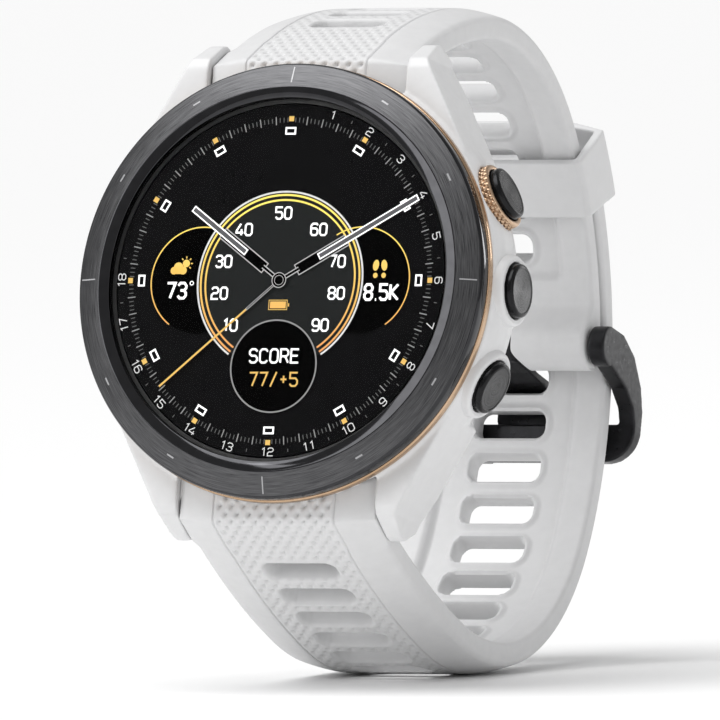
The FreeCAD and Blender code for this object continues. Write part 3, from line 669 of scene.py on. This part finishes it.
def short_bottom(S, W, F):
    pad = smooth((S - (S_PIN - 7.2)) / 1.2)
    body = blend(inner_face(W), round_over(HALF - np.abs(W), INNER_ROUND), pad)
    body = body - slot_rim(F) * (1 - pad) + round_over(F, 0.22)
    return blend(body, pin_circle(S, W, -1), smooth((S - (S_PIN - 4.2)) / 3.3))


def long_hole(S, W):
    """Slots, and the rounded corners of the free end."""
    dx = np.abs(W) - (HALF - TIP_CORNER)
    dy = TIP_CORNER - S
    tip = TIP_CORNER - np.hypot(np.maximum(dx, 0), np.maximum(dy, 0))
    tip = np.where((dx > 0) & (dy > 0), tip, FAR)
    return np.minimum(slot_distance(S, W, LONG_SLOTS), tip)


def long_top(S, W, F):
    edge = np.minimum(F, np.maximum(S, 0.0))
    body = outer_face(W, near_case(S, LONG_CASE)) - round_over(edge, 0.35)
    return body - dents(S, W, F) * smooth(S - TIP_PLAIN)


def long_bottom(S, W, F):
    edge = np.minimum(F, np.maximum(S, 0.0))
    return inner_face(W) - slot_rim(F) * smooth(S - TIP_PLAIN) + round_over(edge, 0.25)


def to_case(end, S, top, low):
    """Runs a strap's outer face level under the trim ring, and returns which way is out at each point."""
    path, sign = end
    if sign > 0:
        start, heading = path.start, path.heading
        ahead = -heading_dir(heading)
    else:
        start, heading = path.end, path.end_heading
        ahead = heading_dir(heading)
    out = out_dir(heading)
    x = beyond(end, S)
    first = math.atan2(out[1], out[0])
    turn = abs(math.pi / 2 - first)
    face = start + out * FACE
    straight = (LEDGE_N - face[1]) / ahead[1] - LEDGE_BEND * math.tan(turn / 2)
    swung = first + sign * np.clip((x - straight) / LEDGE_BEND, 0, turn)
    hub = face + ahead * straight - out * LEDGE_BEND
    along = np.maximum(x - straight - LEDGE_BEND * turn, 0)
    bent = x > straight
    top[:, 1] = np.where(bent, hub[0] + LEDGE_BEND * np.cos(swung) - sign * along, top[:, 1])
    top[:, 2] = np.where(bent, hub[1] + LEDGE_BEND * np.sin(swung), top[:, 2])
    at_case = x > -2.0
    for points, radius in ((top, CASE_R), (low, CASE_R_BELOW)):
        wall = np.sqrt(radius ** 2 - np.minimum(np.abs(points[:, 0]), LUG_GAP_HALF) ** 2)
        held = np.maximum(points[:, 1] * sign, wall) * sign
        points[:, 1] = np.where(at_case, held, points[:, 1])
    low[:, 2] = np.where(at_case, np.minimum(low[:, 2], UNDERSIDE_N), low[:, 2])
    return top, low, bent, np.column_stack([np.cos(swung), np.sin(swung)])


# rows of points along each band, closer together round the pin and at the free end
short_step = PITCH_S / 5
short_end = int((S_PIN + 1.9) / short_step)
pin_rows = S_PIN + np.array([2.02, 2.12, 2.2, 2.25, 2.28, 2.295])
short_rows = np.concatenate([np.arange(-48, short_end) * short_step, pin_rows])
strap_piece("strap_buckle_side", SHORT, short_rows, short_hole, short_top, short_bottom, SHORT_CASE,
            "strap_short")
long_step = PITCH_S / 4
long_end = int((LONG.length + 7.6) / long_step)
long_rows = np.concatenate([[0.0, 0.06, 0.14, 0.24], np.arange(2, long_end + 1) * long_step])
strap_piece("strap_hole_side", LONG, long_rows, long_hole, long_top, long_bottom, LONG_CASE, "strap_long")

# ---- head ----
# bezel: brushed face, polished inner bevel, thin bright outer edge; profiles are (radius, height)
BRUSHED_FROM = 18.16
BRUSHED_TO = 20.3
BRUSHED_ABOVE = -0.5
bezel_outline = [(17.12, 0.28), (18.1, 0.46), (20.35, -0.32), (20.5, -0.62), (20.5, -1.8),
                 (16.7, -1.8), (16.7, -0.72), (17.12, -0.72)]
bezel_profile = rounded_profile(bezel_outline, 0.07)
bezel_kinds = []
for i, (r, n) in enumerate(bezel_profile):
    r2, n2 = bezel_profile[(i + 1) % len(bezel_profile)]
    on_face = BRUSHED_FROM < (r + r2) / 2 < BRUSHED_TO and (n + n2) / 2 > BRUSHED_ABOVE
    bezel_kinds.append(0 if on_face else 1)
revolve("bezel_ring", bezel_profile, [BRUSHED, POLISHED], bezel_kinds, slot="bezel_metal", replaces=("bezel",))
trim_outline = [(19.0, -1.8), (20.5, -1.8), (20.62, -1.94), (20.62, -2.6), (19.0, -2.6)]
revolve("trim_band", rounded_profile(trim_outline, 0.08), [GOLD], slot="rose_gold", replaces=("trim_ring",))


def lens_material():
    """Clear glass: straight see-through with a mirror sheen that grows at shallow angles."""
    m, nodes, links, out = empty_material("lens_clear")
    mix = nodes.new("ShaderNodeMixShader")
    clear = nodes.new("ShaderNodeBsdfTransparent")
    gloss = nodes.new("ShaderNodeBsdfGlossy")
    gloss.inputs["Roughness"].default_value = 0.03
    fresnel = nodes.new("ShaderNodeFresnel")
    fresnel.inputs["IOR"].default_value = 1.12
    links.new(fresnel.outputs[0], mix.inputs[0])
    links.new(clear.outputs[0], mix.inputs[1])
    links.new(gloss.outputs[0], mix.inputs[2])
    links.new(mix.outputs[0], out.inputs[0])
    return m


def clear_material():
    """The lens's underside and edge, which add no second reflection."""
    m, nodes, links, out = empty_material("lens_underside")
    links.new(nodes.new("ShaderNodeBsdfTransparent").outputs[0], out.inputs[0])
    return m


revolve("lens_disc", [(0.0, 0.0), (17.06, 0.0), (17.06, 0.17), (16.97, 0.26), (0.0, 0.26)],
        [lens_material(), clear_material()], [1, 1, 0, 0, 0], slot="lens_glass", replaces=("lens",))


# ---- dial art: flat printed or lit shapes on the display, in (u, v) millimetres ----
ART = {}


def art(ink, level, points, faces):
    """Adds flat faces at a level to the piece for that ink."""
    store = ART.setdefault(ink, ([], []))
    base = len(store[0])
    store[0].extend((float(p[0]), float(p[1]), level) for p in points)
    store[1].extend(tuple(base + i for i in f) for f in faces)


def arc_band(ink, level, cu, cv, r0, r1, a0, a1, steps):
    """Part of a flat ring; angles run clockwise from 12 o'clock, in degrees."""
    points = []
    for k in range(steps + 1):
        a = math.radians(a0 + (a1 - a0) * k / steps)
        points += [(cu + r * math.sin(a), cv + r * math.cos(a)) for r in (r0, r1)]
    art(ink, level, points, [(2 * k, 2 * k + 1, 2 * k + 3, 2 * k + 2) for k in range(steps)])


def oval(ru, rv, steps):
    turns = [2 * math.pi * k / steps for k in range(steps)]
    return [(ru * math.cos(t), rv * math.sin(t)) for t in turns]


def disc_art(ink, level, cu, cv, r, steps=64):
    art(ink, level, [(cu + x, cv + y) for x, y in oval(r, r, steps)], [tuple(range(steps))])


def bar(ink, level, angle, r0, r1, width, cu=0.0, cv=0.0):
    """Straight bar along a radius at this clockwise angle."""
    a = math.radians(angle)
    along = np.array([math.sin(a), math.cos(a)])
    side = np.array([along[1], -along[0]]) * width / 2
    c = np.array([cu, cv])
    points = [c + along * r0 - side, c + along * r0 + side, c + along * r1 + side, c + along * r1 - side]
    art(ink, level, points, [(0, 1, 2, 3)])


def frame_art(ink, level, angle, r, long_side, short_side, line):
    """Hollow rectangle across a radius."""
    a = math.radians(angle)
    along = np.array([math.sin(a), math.cos(a)])
    side = np.array([along[1], -along[0]])
    c = along * r
    points = []
    for grow in (0, -line):
        x, y = long_side / 2 + grow, short_side / 2 + grow
        points += [c + side * sx * x + along * sy * y for sx, sy in ((-1, -1), (1, -1), (1, 1), (-1, 1))]
    art(ink, level, points, [(k, (k + 1) % 4, 4 + (k + 1) % 4, 4 + k) for k in range(4)])


GLYPHS = {
    "0": [[(1, 0), (3, 0), (4, 1), (4, 5), (3, 6), (1, 6), (0, 5), (0, 1), (1, 0)]],
    "1": [[(0.9, 4.9), (2.3, 6), (2.3, 0)]],
    "2": [[(0, 5), (1, 6), (3, 6), (4, 5), (4, 4), (3, 3), (1, 3), (0, 2), (0, 0), (4, 0)]],
    "3": [[(0, 5), (1, 6), (3, 6), (4, 5), (4, 4), (3, 3.1), (1.2, 3.1)],
          [(3, 3.1), (4, 2), (4, 1), (3, 0), (1, 0), (0, 1)]],
    "4": [[(4.3, 1.4), (0, 1.4), (0, 2.2), (2.6, 6)], [(3.1, 3.2), (3.1, 0)]],
    "5": [[(4, 6), (0, 6), (0, 3.5), (3, 3.5), (4, 2.5), (4, 1), (3, 0), (1, 0), (0, 1)]],
    "6": [[(4, 5.2), (3.2, 6), (1, 6), (0, 5), (0, 1), (1, 0), (3, 0), (4, 1), (4, 2.6), (3, 3.5), (0, 3.5)]],
    "7": [[(0, 6), (4, 6), (1.6, 0)]],
    "8": [[(1, 3.1), (0, 4), (0, 5), (1, 6), (3, 6), (4, 5), (4, 4), (3, 3.1), (1, 3.1)],
          [(1, 3.1), (0, 2.1), (0, 1), (1, 0), (3, 0), (4, 1), (4, 2.1), (3, 3.1)]],
    "9": [[(0, 0.8), (0.8, 0), (3, 0), (4, 1), (4, 5), (3, 6), (1, 6), (0, 5), (0, 3.4), (1, 2.5), (4, 2.5)]],
    "S": [[(4, 5), (3, 6), (1, 6), (0, 5), (0, 4), (1, 3.1), (3, 3.1), (4, 2.1), (4, 1), (3, 0),
           (1, 0), (0, 1)]],
    "C": [[(4, 5), (3, 6), (1, 6), (0, 5), (0, 1), (1, 0), (3, 0), (4, 1)]],
    "O": [[(1, 0), (3, 0), (4, 1), (4, 5), (3, 6), (1, 6), (0, 5), (0, 1), (1, 0)]],
    "R": [[(0, 0), (0, 6), (3, 6), (4, 5), (4, 3.8), (3, 2.8), (0, 2.8)], [(2.4, 2.8), (4.1, 0)]],
    "E": [[(4, 6), (0, 6), (0, 0), (4, 0)], [(0, 3.1), (3.5, 3.1)]],
    "K": [[(0, 6), (0, 0)], [(4, 6), (0.6, 3), (4.2, 0)]],
    "+": [[(0.4, 3), (3.6, 3)], [(2, 1.4), (2, 4.6)]],
    "/": [[(0.5, -0.3), (3.5, 6.3)]],
    ".": [[(0.3, 0), (0.9, 0)]],
}
ADVANCE = {"1": 3.3, ".": 1.2}


def stroke_art(ink, level, line, width):
    """Ribbon of constant width along a line of points, with mitred corners."""
    pts = np.asarray(line, float)
    closed = bool(np.allclose(pts[0], pts[-1]))
    if closed:
        pts = pts[:-1]
    count = len(pts)
    left, right = [], []
    for i in range(count):
        before = pts[i] - pts[i - 1] if (closed or i) else pts[1] - pts[0]
        after = pts[(i + 1) % count] - pts[i] if (closed or i < count - 1) else before
        n0 = np.array([-before[1], before[0]]) / np.linalg.norm(before)
        n1 = np.array([-after[1], after[0]]) / np.linalg.norm(after)
        mitre = (n0 + n1) / max(1e-6, np.linalg.norm(n0 + n1))
        reach = width / 2 / max(0.45, float(mitre @ n0))
        left.append(pts[i] + mitre * reach)
        right.append(pts[i] - mitre * reach)
    total = count if closed else count - 1
    faces = [(count + i, count + (i + 1) % count, (i + 1) % count, i) for i in range(total)]
    art(ink, level, left + right, faces)


def text_art(ink, level, words, cu, cv, size, turn=0.0, stretch=1.0, weight=0.85):
    """Square-cut characters centred on a point, turned clockwise; size is their height."""
    unit = size / 6
    gap = 1.5
    widths = [ADVANCE.get(c, 4.0) for c in words]
    total = sum(widths) + gap * (len(words) - 1)
    x = -total / 2
    a = math.radians(turn)
    spin = np.array([[math.cos(a), math.sin(a)], [-math.sin(a), math.cos(a)]])
    for c, wide in zip(words, widths):
        for line in GLYPHS[c]:
            shape = (np.asarray(line, float) + np.array([x, -3.0])) * unit * np.array([stretch, 1.0])
            stroke_art(ink, level, shape @ spin.T + np.array([cu, cv]), unit * weight)
        x += wide + gap


# heights of the dial's layers over the display, in millimetres from the dial plane
FIELD, GAUGE_FIELD, LOW, SCORE_FIELD, MID, HIGH, TOP = -0.53, -0.52, -0.46, -0.43, -0.40, -0.34, -0.28
GAUGE_PLACES = [(-4.75, -4.2), (-6.05, -1.2), (-5.85, 1.8), (-4.0, 4.8), (-0.1, 6.35), (3.6, 4.8),
                (5.7, 1.8), (5.85, -1.2), (4.45, -4.2)]
NUMBER_R = 16.12
SIDE_AT = 8.1
SUN_AT = (-9.68, 1.62)
SCORE_AT = -8.06
BATTERY_AT = -2.3


def rectangle(x, y, v=0.0):
    return [(-x, v - y), (x, v - y), (x, v + y), (-x, v + y)]


def hour_track():
    """Minute ticks, hour squares and frames, and the ring of numbers."""
    for k in range(240):
        if k % 20 == 0:
            continue
        if k % 4 == 0:
            bar("grey", LOW, k * 1.5, 14.72, 15.5, 0.1)
        else:
            bar("dim", LOW, k * 1.5, 14.92, 15.36, 0.08)
    for k in range(12):
        bar("gold", MID, k * 30, 15.0, 15.48, 0.5)
        frame_art("white", MID, k * 30, 14.1, 1.1, 0.72, 0.17)
    for k in range(1, 19):
        a = k * 15
        u, v = NUMBER_R * math.sin(math.radians(a)), NUMBER_R * math.cos(math.radians(a))
        upright = a <= 110 or a >= 250
        text_art("silver", MID, str(k), u, v, 0.74, a if upright else a - 180, 1.15, 0.75)
        bar("dim", MID, a + 7.5, 15.95, 16.25, 0.08)


def gauge():
    """Centre gauge, open at the bottom."""
    disc_art("gauge_field", GAUGE_FIELD, 0, 0, 8.2, 96)
    for ink, r0, r1 in (("silver", 8.28, 8.46), ("gold_fade", 7.97, 8.16), ("gold_fade", 7.50, 7.68)):
        arc_band(ink, LOW, 0, 0, r0, r1, -146, 146, 120)
    for k, (u, v) in enumerate(GAUGE_PLACES):
        text_art("white", MID, str(10 * (k + 1)), u, v, 1.08, stretch=0.92, weight=1.0)


def side_fields():
    """The two side fields with their numbers and small pictures: sun with cloud, and two soles."""
    for side, a0, a1 in ((-1, 215, 392), (1, -32, 145)):
        disc_art("black", FIELD, side * SIDE_AT, 0, 5.0, 72)
        arc_band("gold_fade", LOW, side * SIDE_AT, 0, 4.98, 5.10, a0, a1, 90)
    text_art("white", MID, "73", -10.45, -0.95, 1.42, stretch=0.86, weight=1.0)
    arc_band("white", MID, -8.95, -0.25, 0.13, 0.22, 0, 360, 16)
    text_art("white", MID, "8.5K", 10.4, -1.1, 1.42, stretch=0.80, weight=1.0)
    for du, dv, r in ((-0.55, -0.02, 0.36), (-0.12, 0.28, 0.48), (0.36, 0.0, 0.38)):
        disc_art("gold_fade", MID, -10.3 + du, 0.95 + dv, r, 28)
    art("gold_fade", MID, [(-10.95, 0.62), (-9.95, 0.62), (-9.75, 1.0), (-10.9, 1.0)], [(0, 1, 2, 3)])
    disc_art("gold_fade", LOW, *SUN_AT, 0.36, 24)
    for k in range(6):
        bar("gold_fade", LOW, k * 45 - 45, 0.47, 0.66, 0.11, *SUN_AT)
    for du, turn in ((-0.42, 8), (0.42, -8)):
        t = math.radians(turn)
        for cv, ru, rv in ((1.5, 0.30, 0.52), (0.55, 0.23, 0.25)):
            cu = 10.1 + du
            drop = cv - abs(du) * 0.2
            sole = [(cu + x * math.cos(t) + y * math.sin(t), drop - x * math.sin(t) + y * math.cos(t))
                    for x, y in oval(ru, rv, 24)]
            art("gold_fade", MID, sole, [tuple(range(24))])


def score_and_battery():
    """Lower field with a plain score line, and the battery sign above it."""
    disc_art("black", SCORE_FIELD, 0, SCORE_AT, 4.30, 72)
    arc_band("grey", MID, 0, SCORE_AT, 4.26, 4.40, 0, 360, 120)
    text_art("white", MID, "SCORE", 0.0, -7.1, 1.25, stretch=0.92, weight=0.85)
    text_art("gold", MID, "77/+5", 0.1, -9.3, 1.25, stretch=0.9, weight=0.8)
    art("gold_fade", MID, rectangle(0.8, 0.32, BATTERY_AT), [(0, 1, 2, 3)])
    ring = rectangle(0.96, 0.48, BATTERY_AT) + rectangle(0.89, 0.41, BATTERY_AT)
    art("gold", MID, ring, [(k, (k + 1) % 4, 4 + (k + 1) % 4, 4 + k) for k in range(4)])
    art("gold", MID, [(1.02, -2.45), (1.14, -2.45), (1.14, -2.15), (1.02, -2.15)], [(0, 1, 2, 3)])


def hands():
    """White outlined bars on dark roots, the second hand and the hub."""
    start = 4.4
    for angle, reach in ((-53.8, 11.5), (60.0, 15.6)):
        bar("outline", HIGH, angle, 1.9, start + 3.2, 1.15)
        bar("black", HIGH + 0.015, angle, 2.0, start + 3.1, 0.95)
        bar("outline", HIGH + 0.02, angle, 0.4, 2.2, 0.42)
        bar("black", HIGH + 0.03, angle, 0.5, 2.2, 0.22)
        bar("white", HIGH + 0.045, angle, start, reach, 0.66)
        bar("hand_fill", HIGH + 0.06, angle, start + 0.13, reach - 0.13, 0.40)
    second = 228.8
    bar("gold", TOP + 0.04, second, 4.2, 15.2, 0.19)
    bar("outline", TOP + 0.04, second, 0.5, 4.2, 0.22)
    bar("black", TOP + 0.05, second, 0.5, 4.1, 0.09)
    disc_art("black", TOP + 0.06, 0, 0, 0.72, 40)
    for r0, r1 in ((0.66, 0.74), (0.42, 0.47)):
        arc_band("outline", TOP + 0.08, 0, 0, r0, r1, 0, 360, 48)


def glow(links, shader, colour, strength, roughness=0.5, specular=0.0):
    """Makes a shape shine a little in its own colour, like a display."""
    links.new(colour, shader.inputs["Base Color"])
    links.new(colour, shader.inputs["Emission Color"])
    shader.inputs["Emission Strength"].default_value = strength
    shader.inputs["Roughness"].default_value = roughness
    shader.inputs["Specular IOR Level"].default_value = specular


def lit(name, colour, strength):
    """Lit ink in one colour."""
    m, nodes, links, shader = material(name)
    dark = tuple(c * 0.94 for c in colour)
    light = tuple(min(1, c * 1.04) for c in colour)
    glow(links, shader, ramp(nodes, links, noise_of(nodes, links, 3000.0), dark, light), strength)
    return m


def faded(name, high, low, strength, span):
    """Lit ink that turns from one colour at the top to another at the bottom."""
    m, nodes, links, shader = material(name)
    coord = nodes.new("ShaderNodeTexCoord")
    split = nodes.new("ShaderNodeSeparateXYZ")
    links.new(coord.outputs["Object"], split.inputs[0])
    spread = nodes.new("ShaderNodeMapRange")
    spread.inputs["From Min"].default_value = -span * MM
    spread.inputs["From Max"].default_value = span * MM
    links.new(split.outputs[1], spread.inputs[0])
    glow(links, shader, ramp(nodes, links, spread.outputs[0], low, high, (0.1, 0.95)), strength)
    return m


def dotted(name, base, dot, pitch):
    """Near-black field with a fine regular dot pattern."""
    m, nodes, links, shader = material(name)
    coord = nodes.new("ShaderNodeTexCoord")
    cells = nodes.new("ShaderNodeTexVoronoi")
    cells.inputs["Scale"].default_value = 1000.0 / pitch
    cells.inputs["Randomness"].default_value = 0.0
    links.new(coord.outputs["Object"], cells.inputs["Vector"])
    colour = ramp(nodes, links, cells.outputs["Distance"], dot, base, (0.12, 0.34))
    glow(links, shader, colour, 0.5, 0.4, 0.1)
    return m


INKS = {
    "white": lit("ink_white", (0.9, 0.9, 0.9), 0.75),
    "silver": lit("ink_silver", (0.55, 0.55, 0.55), 0.6),
    "grey": lit("ink_grey", (0.25, 0.25, 0.25), 0.5),
    "dim": lit("ink_dim", (0.11, 0.11, 0.11), 0.5),
    "outline": lit("ink_outline", (0.4, 0.4, 0.4), 0.5),
    "black": lit("ink_black", (0.002, 0.002, 0.002), 0.0),
    "hand_fill": lit("ink_hand_fill", (0.10, 0.10, 0.105), 0.4),
    "gold": lit("ink_gold", (0.58, 0.38, 0.11), 0.7),
    "gold_fade": faded("ink_gold_fade", (0.72, 0.60, 0.13), (0.55, 0.24, 0.09), 0.75, 9.0),
    "gauge_field": dotted("gauge_field", (0.007, 0.008, 0.008), (0.016, 0.017, 0.017), 0.42),
}
hour_track()
gauge()
side_fields()
score_and_battery()
hands()
for ink, (points, faces) in ART.items():
    add_mesh("dial_" + ink, points, faces, [INKS[ink]], local=True, slot="display", smooth=False)

# bezel marks: thin inlays that follow the slope of the brushed face
MARK_TOP = 0.46
MARK_FALL = 0.78 / 2.25
mark_points = []
mark_faces = []
for k in range(12):
    long_mark = k % 3 == 0
    a = math.radians(k * 30)
    along = np.array([math.sin(a), math.cos(a)])
    side = np.array([along[1], -along[0]]) * (0.06 if long_mark else 0.38)
    r0, r1 = (18.55, 20.1) if long_mark else (19.12, 19.27)
    base = len(mark_points)
    for lift in (0.012, -0.05):
        for r, s in ((r0, -1), (r0, 1), (r1, 1), (r1, -1)):
            p = along * r + side * s
            mark_points.append((p[0], p[1], MARK_TOP - (r - 18.1) * MARK_FALL + lift))
    mark_faces += [(base, base + 1, base + 2, base + 3)]
    mark_faces += [(base + i, base + (i + 1) % 4, base + 4 + (i + 1) % 4, base + 4 + i) for i in range(4)]
add_mesh("bezel_marks", mark_points, mark_faces, [MARK], local=True, slot="bezel_metal", smooth=False)

# ---- buttons: turned about their own axes, which cross the watch axis at this level ----
LEVEL = -6.0
UPPER, MIDDLE, LOWER = 24.7, 0.0, -24.7


def button_frame(angle):
    a = math.radians(angle)
    z = U * math.cos(a) + V * math.sin(a)
    x = U * -math.sin(a) + V * math.cos(a)
    return axes_matrix(x, z.cross(x), z, place(0, 0, LEVEL))


def on_button(name, profile, mats, angle, bands=None, segments=128, shift=None, body="watch",
              replaces=()):
    """Turned piece about a button's axis; shift moves a point (ring angle, radius, depth) for a knurl."""
    count = len(profile)
    points = []
    faces = []
    kinds = []
    for k in range(segments):
        a = 2 * math.pi * k / segments
        for r, d in profile:
            grown = r + (shift(a, r, d) if shift else 0.0)
            points.append((grown * math.cos(a) * MM, grown * math.sin(a) * MM, d * MM))
        k2 = (k + 1) % segments
        for i in range(count - 1):
            faces.append((k * count + i, k2 * count + i, k2 * count + i + 1, k * count + i + 1))
            kinds.append(bands[i] if bands else 0)
    obj = new_object(name, points, faces, mats, kinds)
    tidy_mesh(obj, 40.0)
    obj.matrix_world = button_frame(angle)
    attach(obj, body, replaces)


SPUN = turned_metal("button_spun", (0.035, 0.035, 0.036), (0.11, 0.11, 0.112), 0.26, 16000.0, 1.2, bump=0.3,
                    anisotropic=0.7)
for name, angle, face in (("upper", UPPER, 22.35), ("middle", MIDDLE, 22.2), ("lower", LOWER, 22.2)):
    inner = face - 1.3
    stem = [(0.0, 16.8), (0.75, 16.8), (0.75, 17.0), (0.55, 17.0), (0.55, 17.3), (0.75, 17.3), (0.75, inner)]
    side = [(2.42, inner), (2.5, inner + 0.08), (2.5, face - 0.72), (2.42, face - 0.66),
            (2.42, face - 0.58), (2.5, face - 0.52), (2.5, face - 0.26)]
    front = [(2.44, face - 0.12), (2.32, face - 0.04), (2.2, face), (2.12, face), (2.06, face - 0.06),
             (0.0, face - 0.10)]
    profile = stem + side + front
    bands = [1 if i < len(profile) - 3 else 0 for i in range(len(profile) - 1)]
    on_button("button_" + name + "_cap", profile, [SPUN, BUTTON_SIDE], angle, bands,
              body="button_" + name + "_body", replaces=("button_" + name,))

RIM = [(3.62, 20.0), (3.46, 20.6), (3.36, 21.1), (3.30, 21.34), (3.20, 21.48), (3.04, 21.55),
       (2.86, 21.53), (2.72, 21.44), (2.66, 21.28), (2.64, 21.1), (2.64, 20.15), (3.0, 19.9), (3.62, 20.0)]
for name, angle in (("middle", MIDDLE), ("lower", LOWER)):
    on_button("button_rim_" + name, RIM, [WHITE_POLYMER], angle)

KNURL_FROM, KNURL_TO = 20.0, 21.38
KNURL_TURNS = 30
KNURL_PITCH = 0.62
KNURL_DEPTH = 0.16


def knurl(a, r, d):
    """Diamond knurl on the collar's outside."""
    if r < 3.10 or d < KNURL_FROM or d > KNURL_TO:
        return 0.0
    p = a * KNURL_TURNS / (2 * math.pi)
    q = (d - KNURL_FROM) / KNURL_PITCH
    x, y = p + q, p - q
    fx, fy = abs(x - round(x)), abs(y - round(y))
    return -KNURL_DEPTH * max(0.0, 1 - min(fx, fy) / 0.22)


collar = [(2.63, 19.85), (3.15, 19.85)]
collar += [(3.15, float(d)) for d in np.arange(19.95, 21.4, 0.07)]
collar += [(3.13, 21.45), (3.05, 21.56), (2.95, 21.6), (2.74, 21.6), (2.65, 21.55), (2.63, 21.45),
           (2.63, 19.85)]
on_button("guard_collar", collar, [GOLD_COLLAR], UPPER, None, 360, knurl,
          replaces=("button_guard",))

# ---- finishes for the CAD pieces that show as they are ----
for node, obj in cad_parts.items():
    for slot_entry in obj.material_slots:
        if slot_entry.material is None:
            continue
        found = [key for key in PLAIN if key in slot_entry.material.name]
        if found:
            slot_entry.material = PLAIN[found[0]]
        elif "bezel" in slot_entry.material.name:
            slot_entry.material = BRUSHED
        elif "rose" in slot_entry.material.name:
            slot_entry.material = GOLD_COLLAR

# ---- floor, light and camera ----
low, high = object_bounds()
MIDDLE_POINT = (low + high) / 2
FLOOR_HALF = 6
FLOOR_BELOW = 0.00002
corners = [(x * FLOOR_HALF, y * FLOOR_HALF, 0) for x, y in ((-1, -1), (1, -1), (1, 1), (-1, 1))]
floor_white, _, _, shader = material("floor_white")
shader.inputs["Base Color"].default_value = (0.975, 0.975, 0.975, 1)
shader.inputs["Roughness"].default_value = 0.8
shader.inputs["Specular IOR Level"].default_value = 0.1
floor = new_object("floor", corners, [(0, 1, 2, 3)], [floor_white], smooth=False)
floor.location.z = low.z - FLOOR_BELOW

# the room lights the watch softly, and the camera sees it as plain white
ROOM_LIGHT = 0.40
ROOM_SEEN = 1.0
world = bpy.data.worlds.new("studio")
bpy.context.scene.world = world
world.use_nodes = True
room = world.node_tree.nodes
wires = world.node_tree.links
sky = room["Background"]
backdrop = room.new("ShaderNodeBackground")
for node, strength in ((sky, ROOM_LIGHT), (backdrop, ROOM_SEEN)):
    node.inputs[0].default_value = (1, 1, 1, 1)
    node.inputs[1].default_value = strength
seen_by = room.new("ShaderNodeLightPath")
pick = room.new("ShaderNodeMixShader")
wires.new(seen_by.outputs["Is Camera Ray"], pick.inputs[0])
wires.new(sky.outputs[0], pick.inputs[1])
wires.new(backdrop.outputs[0], pick.inputs[2])
wires.new(pick.outputs[0], room["World Output"].inputs[0])


def aimed(name, data, towards):
    """Adds a lamp or camera that looks back along this direction."""
    obj = bpy.data.objects.new(name, data)
    bpy.context.scene.collection.objects.link(obj)
    obj.rotation_mode = "QUATERNION"
    obj.rotation_quaternion = towards.to_track_quat("Z", "Y")
    return obj


def soft_light(name, offset, width, height, power):
    data = bpy.data.lights.new(name, "AREA")
    data.shape = "RECTANGLE"
    data.size = width
    data.size_y = height
    data.energy = power
    aimed(name, data, Vector(offset)).location = MIDDLE_POINT + Vector(offset)


sun_data = bpy.data.lights.new("overhead", "SUN")
sun_data.energy = 2.05
sun_data.angle = math.radians(50)
aimed("overhead", sun_data, Vector((-0.28, -0.30, 1.0)))
soft_light("left_front", (-0.42, -0.45, 0.22), 0.30, 0.30, 0.9)
soft_light("right_strip", (0.55, -0.30, 0.10), 0.10, 0.5, 0.30)
soft_light("rear_strip", (0.33, 0.78, 0.12), 0.07, 0.5, 0.5)
soft_light("bevel_card", (-0.27, -0.42, 0.41), 0.035, 0.09, 0.035)

AZIMUTH = math.radians(24.4)
ELEVATION = math.radians(2.5)
ROLL = math.radians(-1.1)
DISTANCE = 2.0
VIEW_WIDTH = 0.06667
# the dial's centre sits left of and above the middle of the view, by these lengths
DIAL_LEFT = 0.0076
DIAL_ABOVE = 0.00744
level = math.cos(ELEVATION)
back = Vector((math.sin(AZIMUTH) * level, -math.cos(AZIMUTH) * level, math.sin(ELEVATION)))
cam_data = bpy.data.cameras.new("camera")
cam_data.sensor_width = 36.0
cam_data.lens = cam_data.sensor_width * DISTANCE / VIEW_WIDTH
cam_data.clip_start = 0.01
cam_data.clip_end = 100
cam_data.dof.use_dof = False
cam = aimed("camera", cam_data, back)
cam.rotation_quaternion = cam.rotation_quaternion @ Matrix.Rotation(ROLL, 4, "Z").to_quaternion()
right = cam.rotation_quaternion @ Vector((1, 0, 0))
up = cam.rotation_quaternion @ Vector((0, 1, 0))
cam.location = place(0, 0, 0) + right * DIAL_LEFT - up * DIAL_ABOVE + back * DISTANCE
bpy.context.scene.camera = cam
bpy.context.scene.view_settings.view_transform = "Standard"
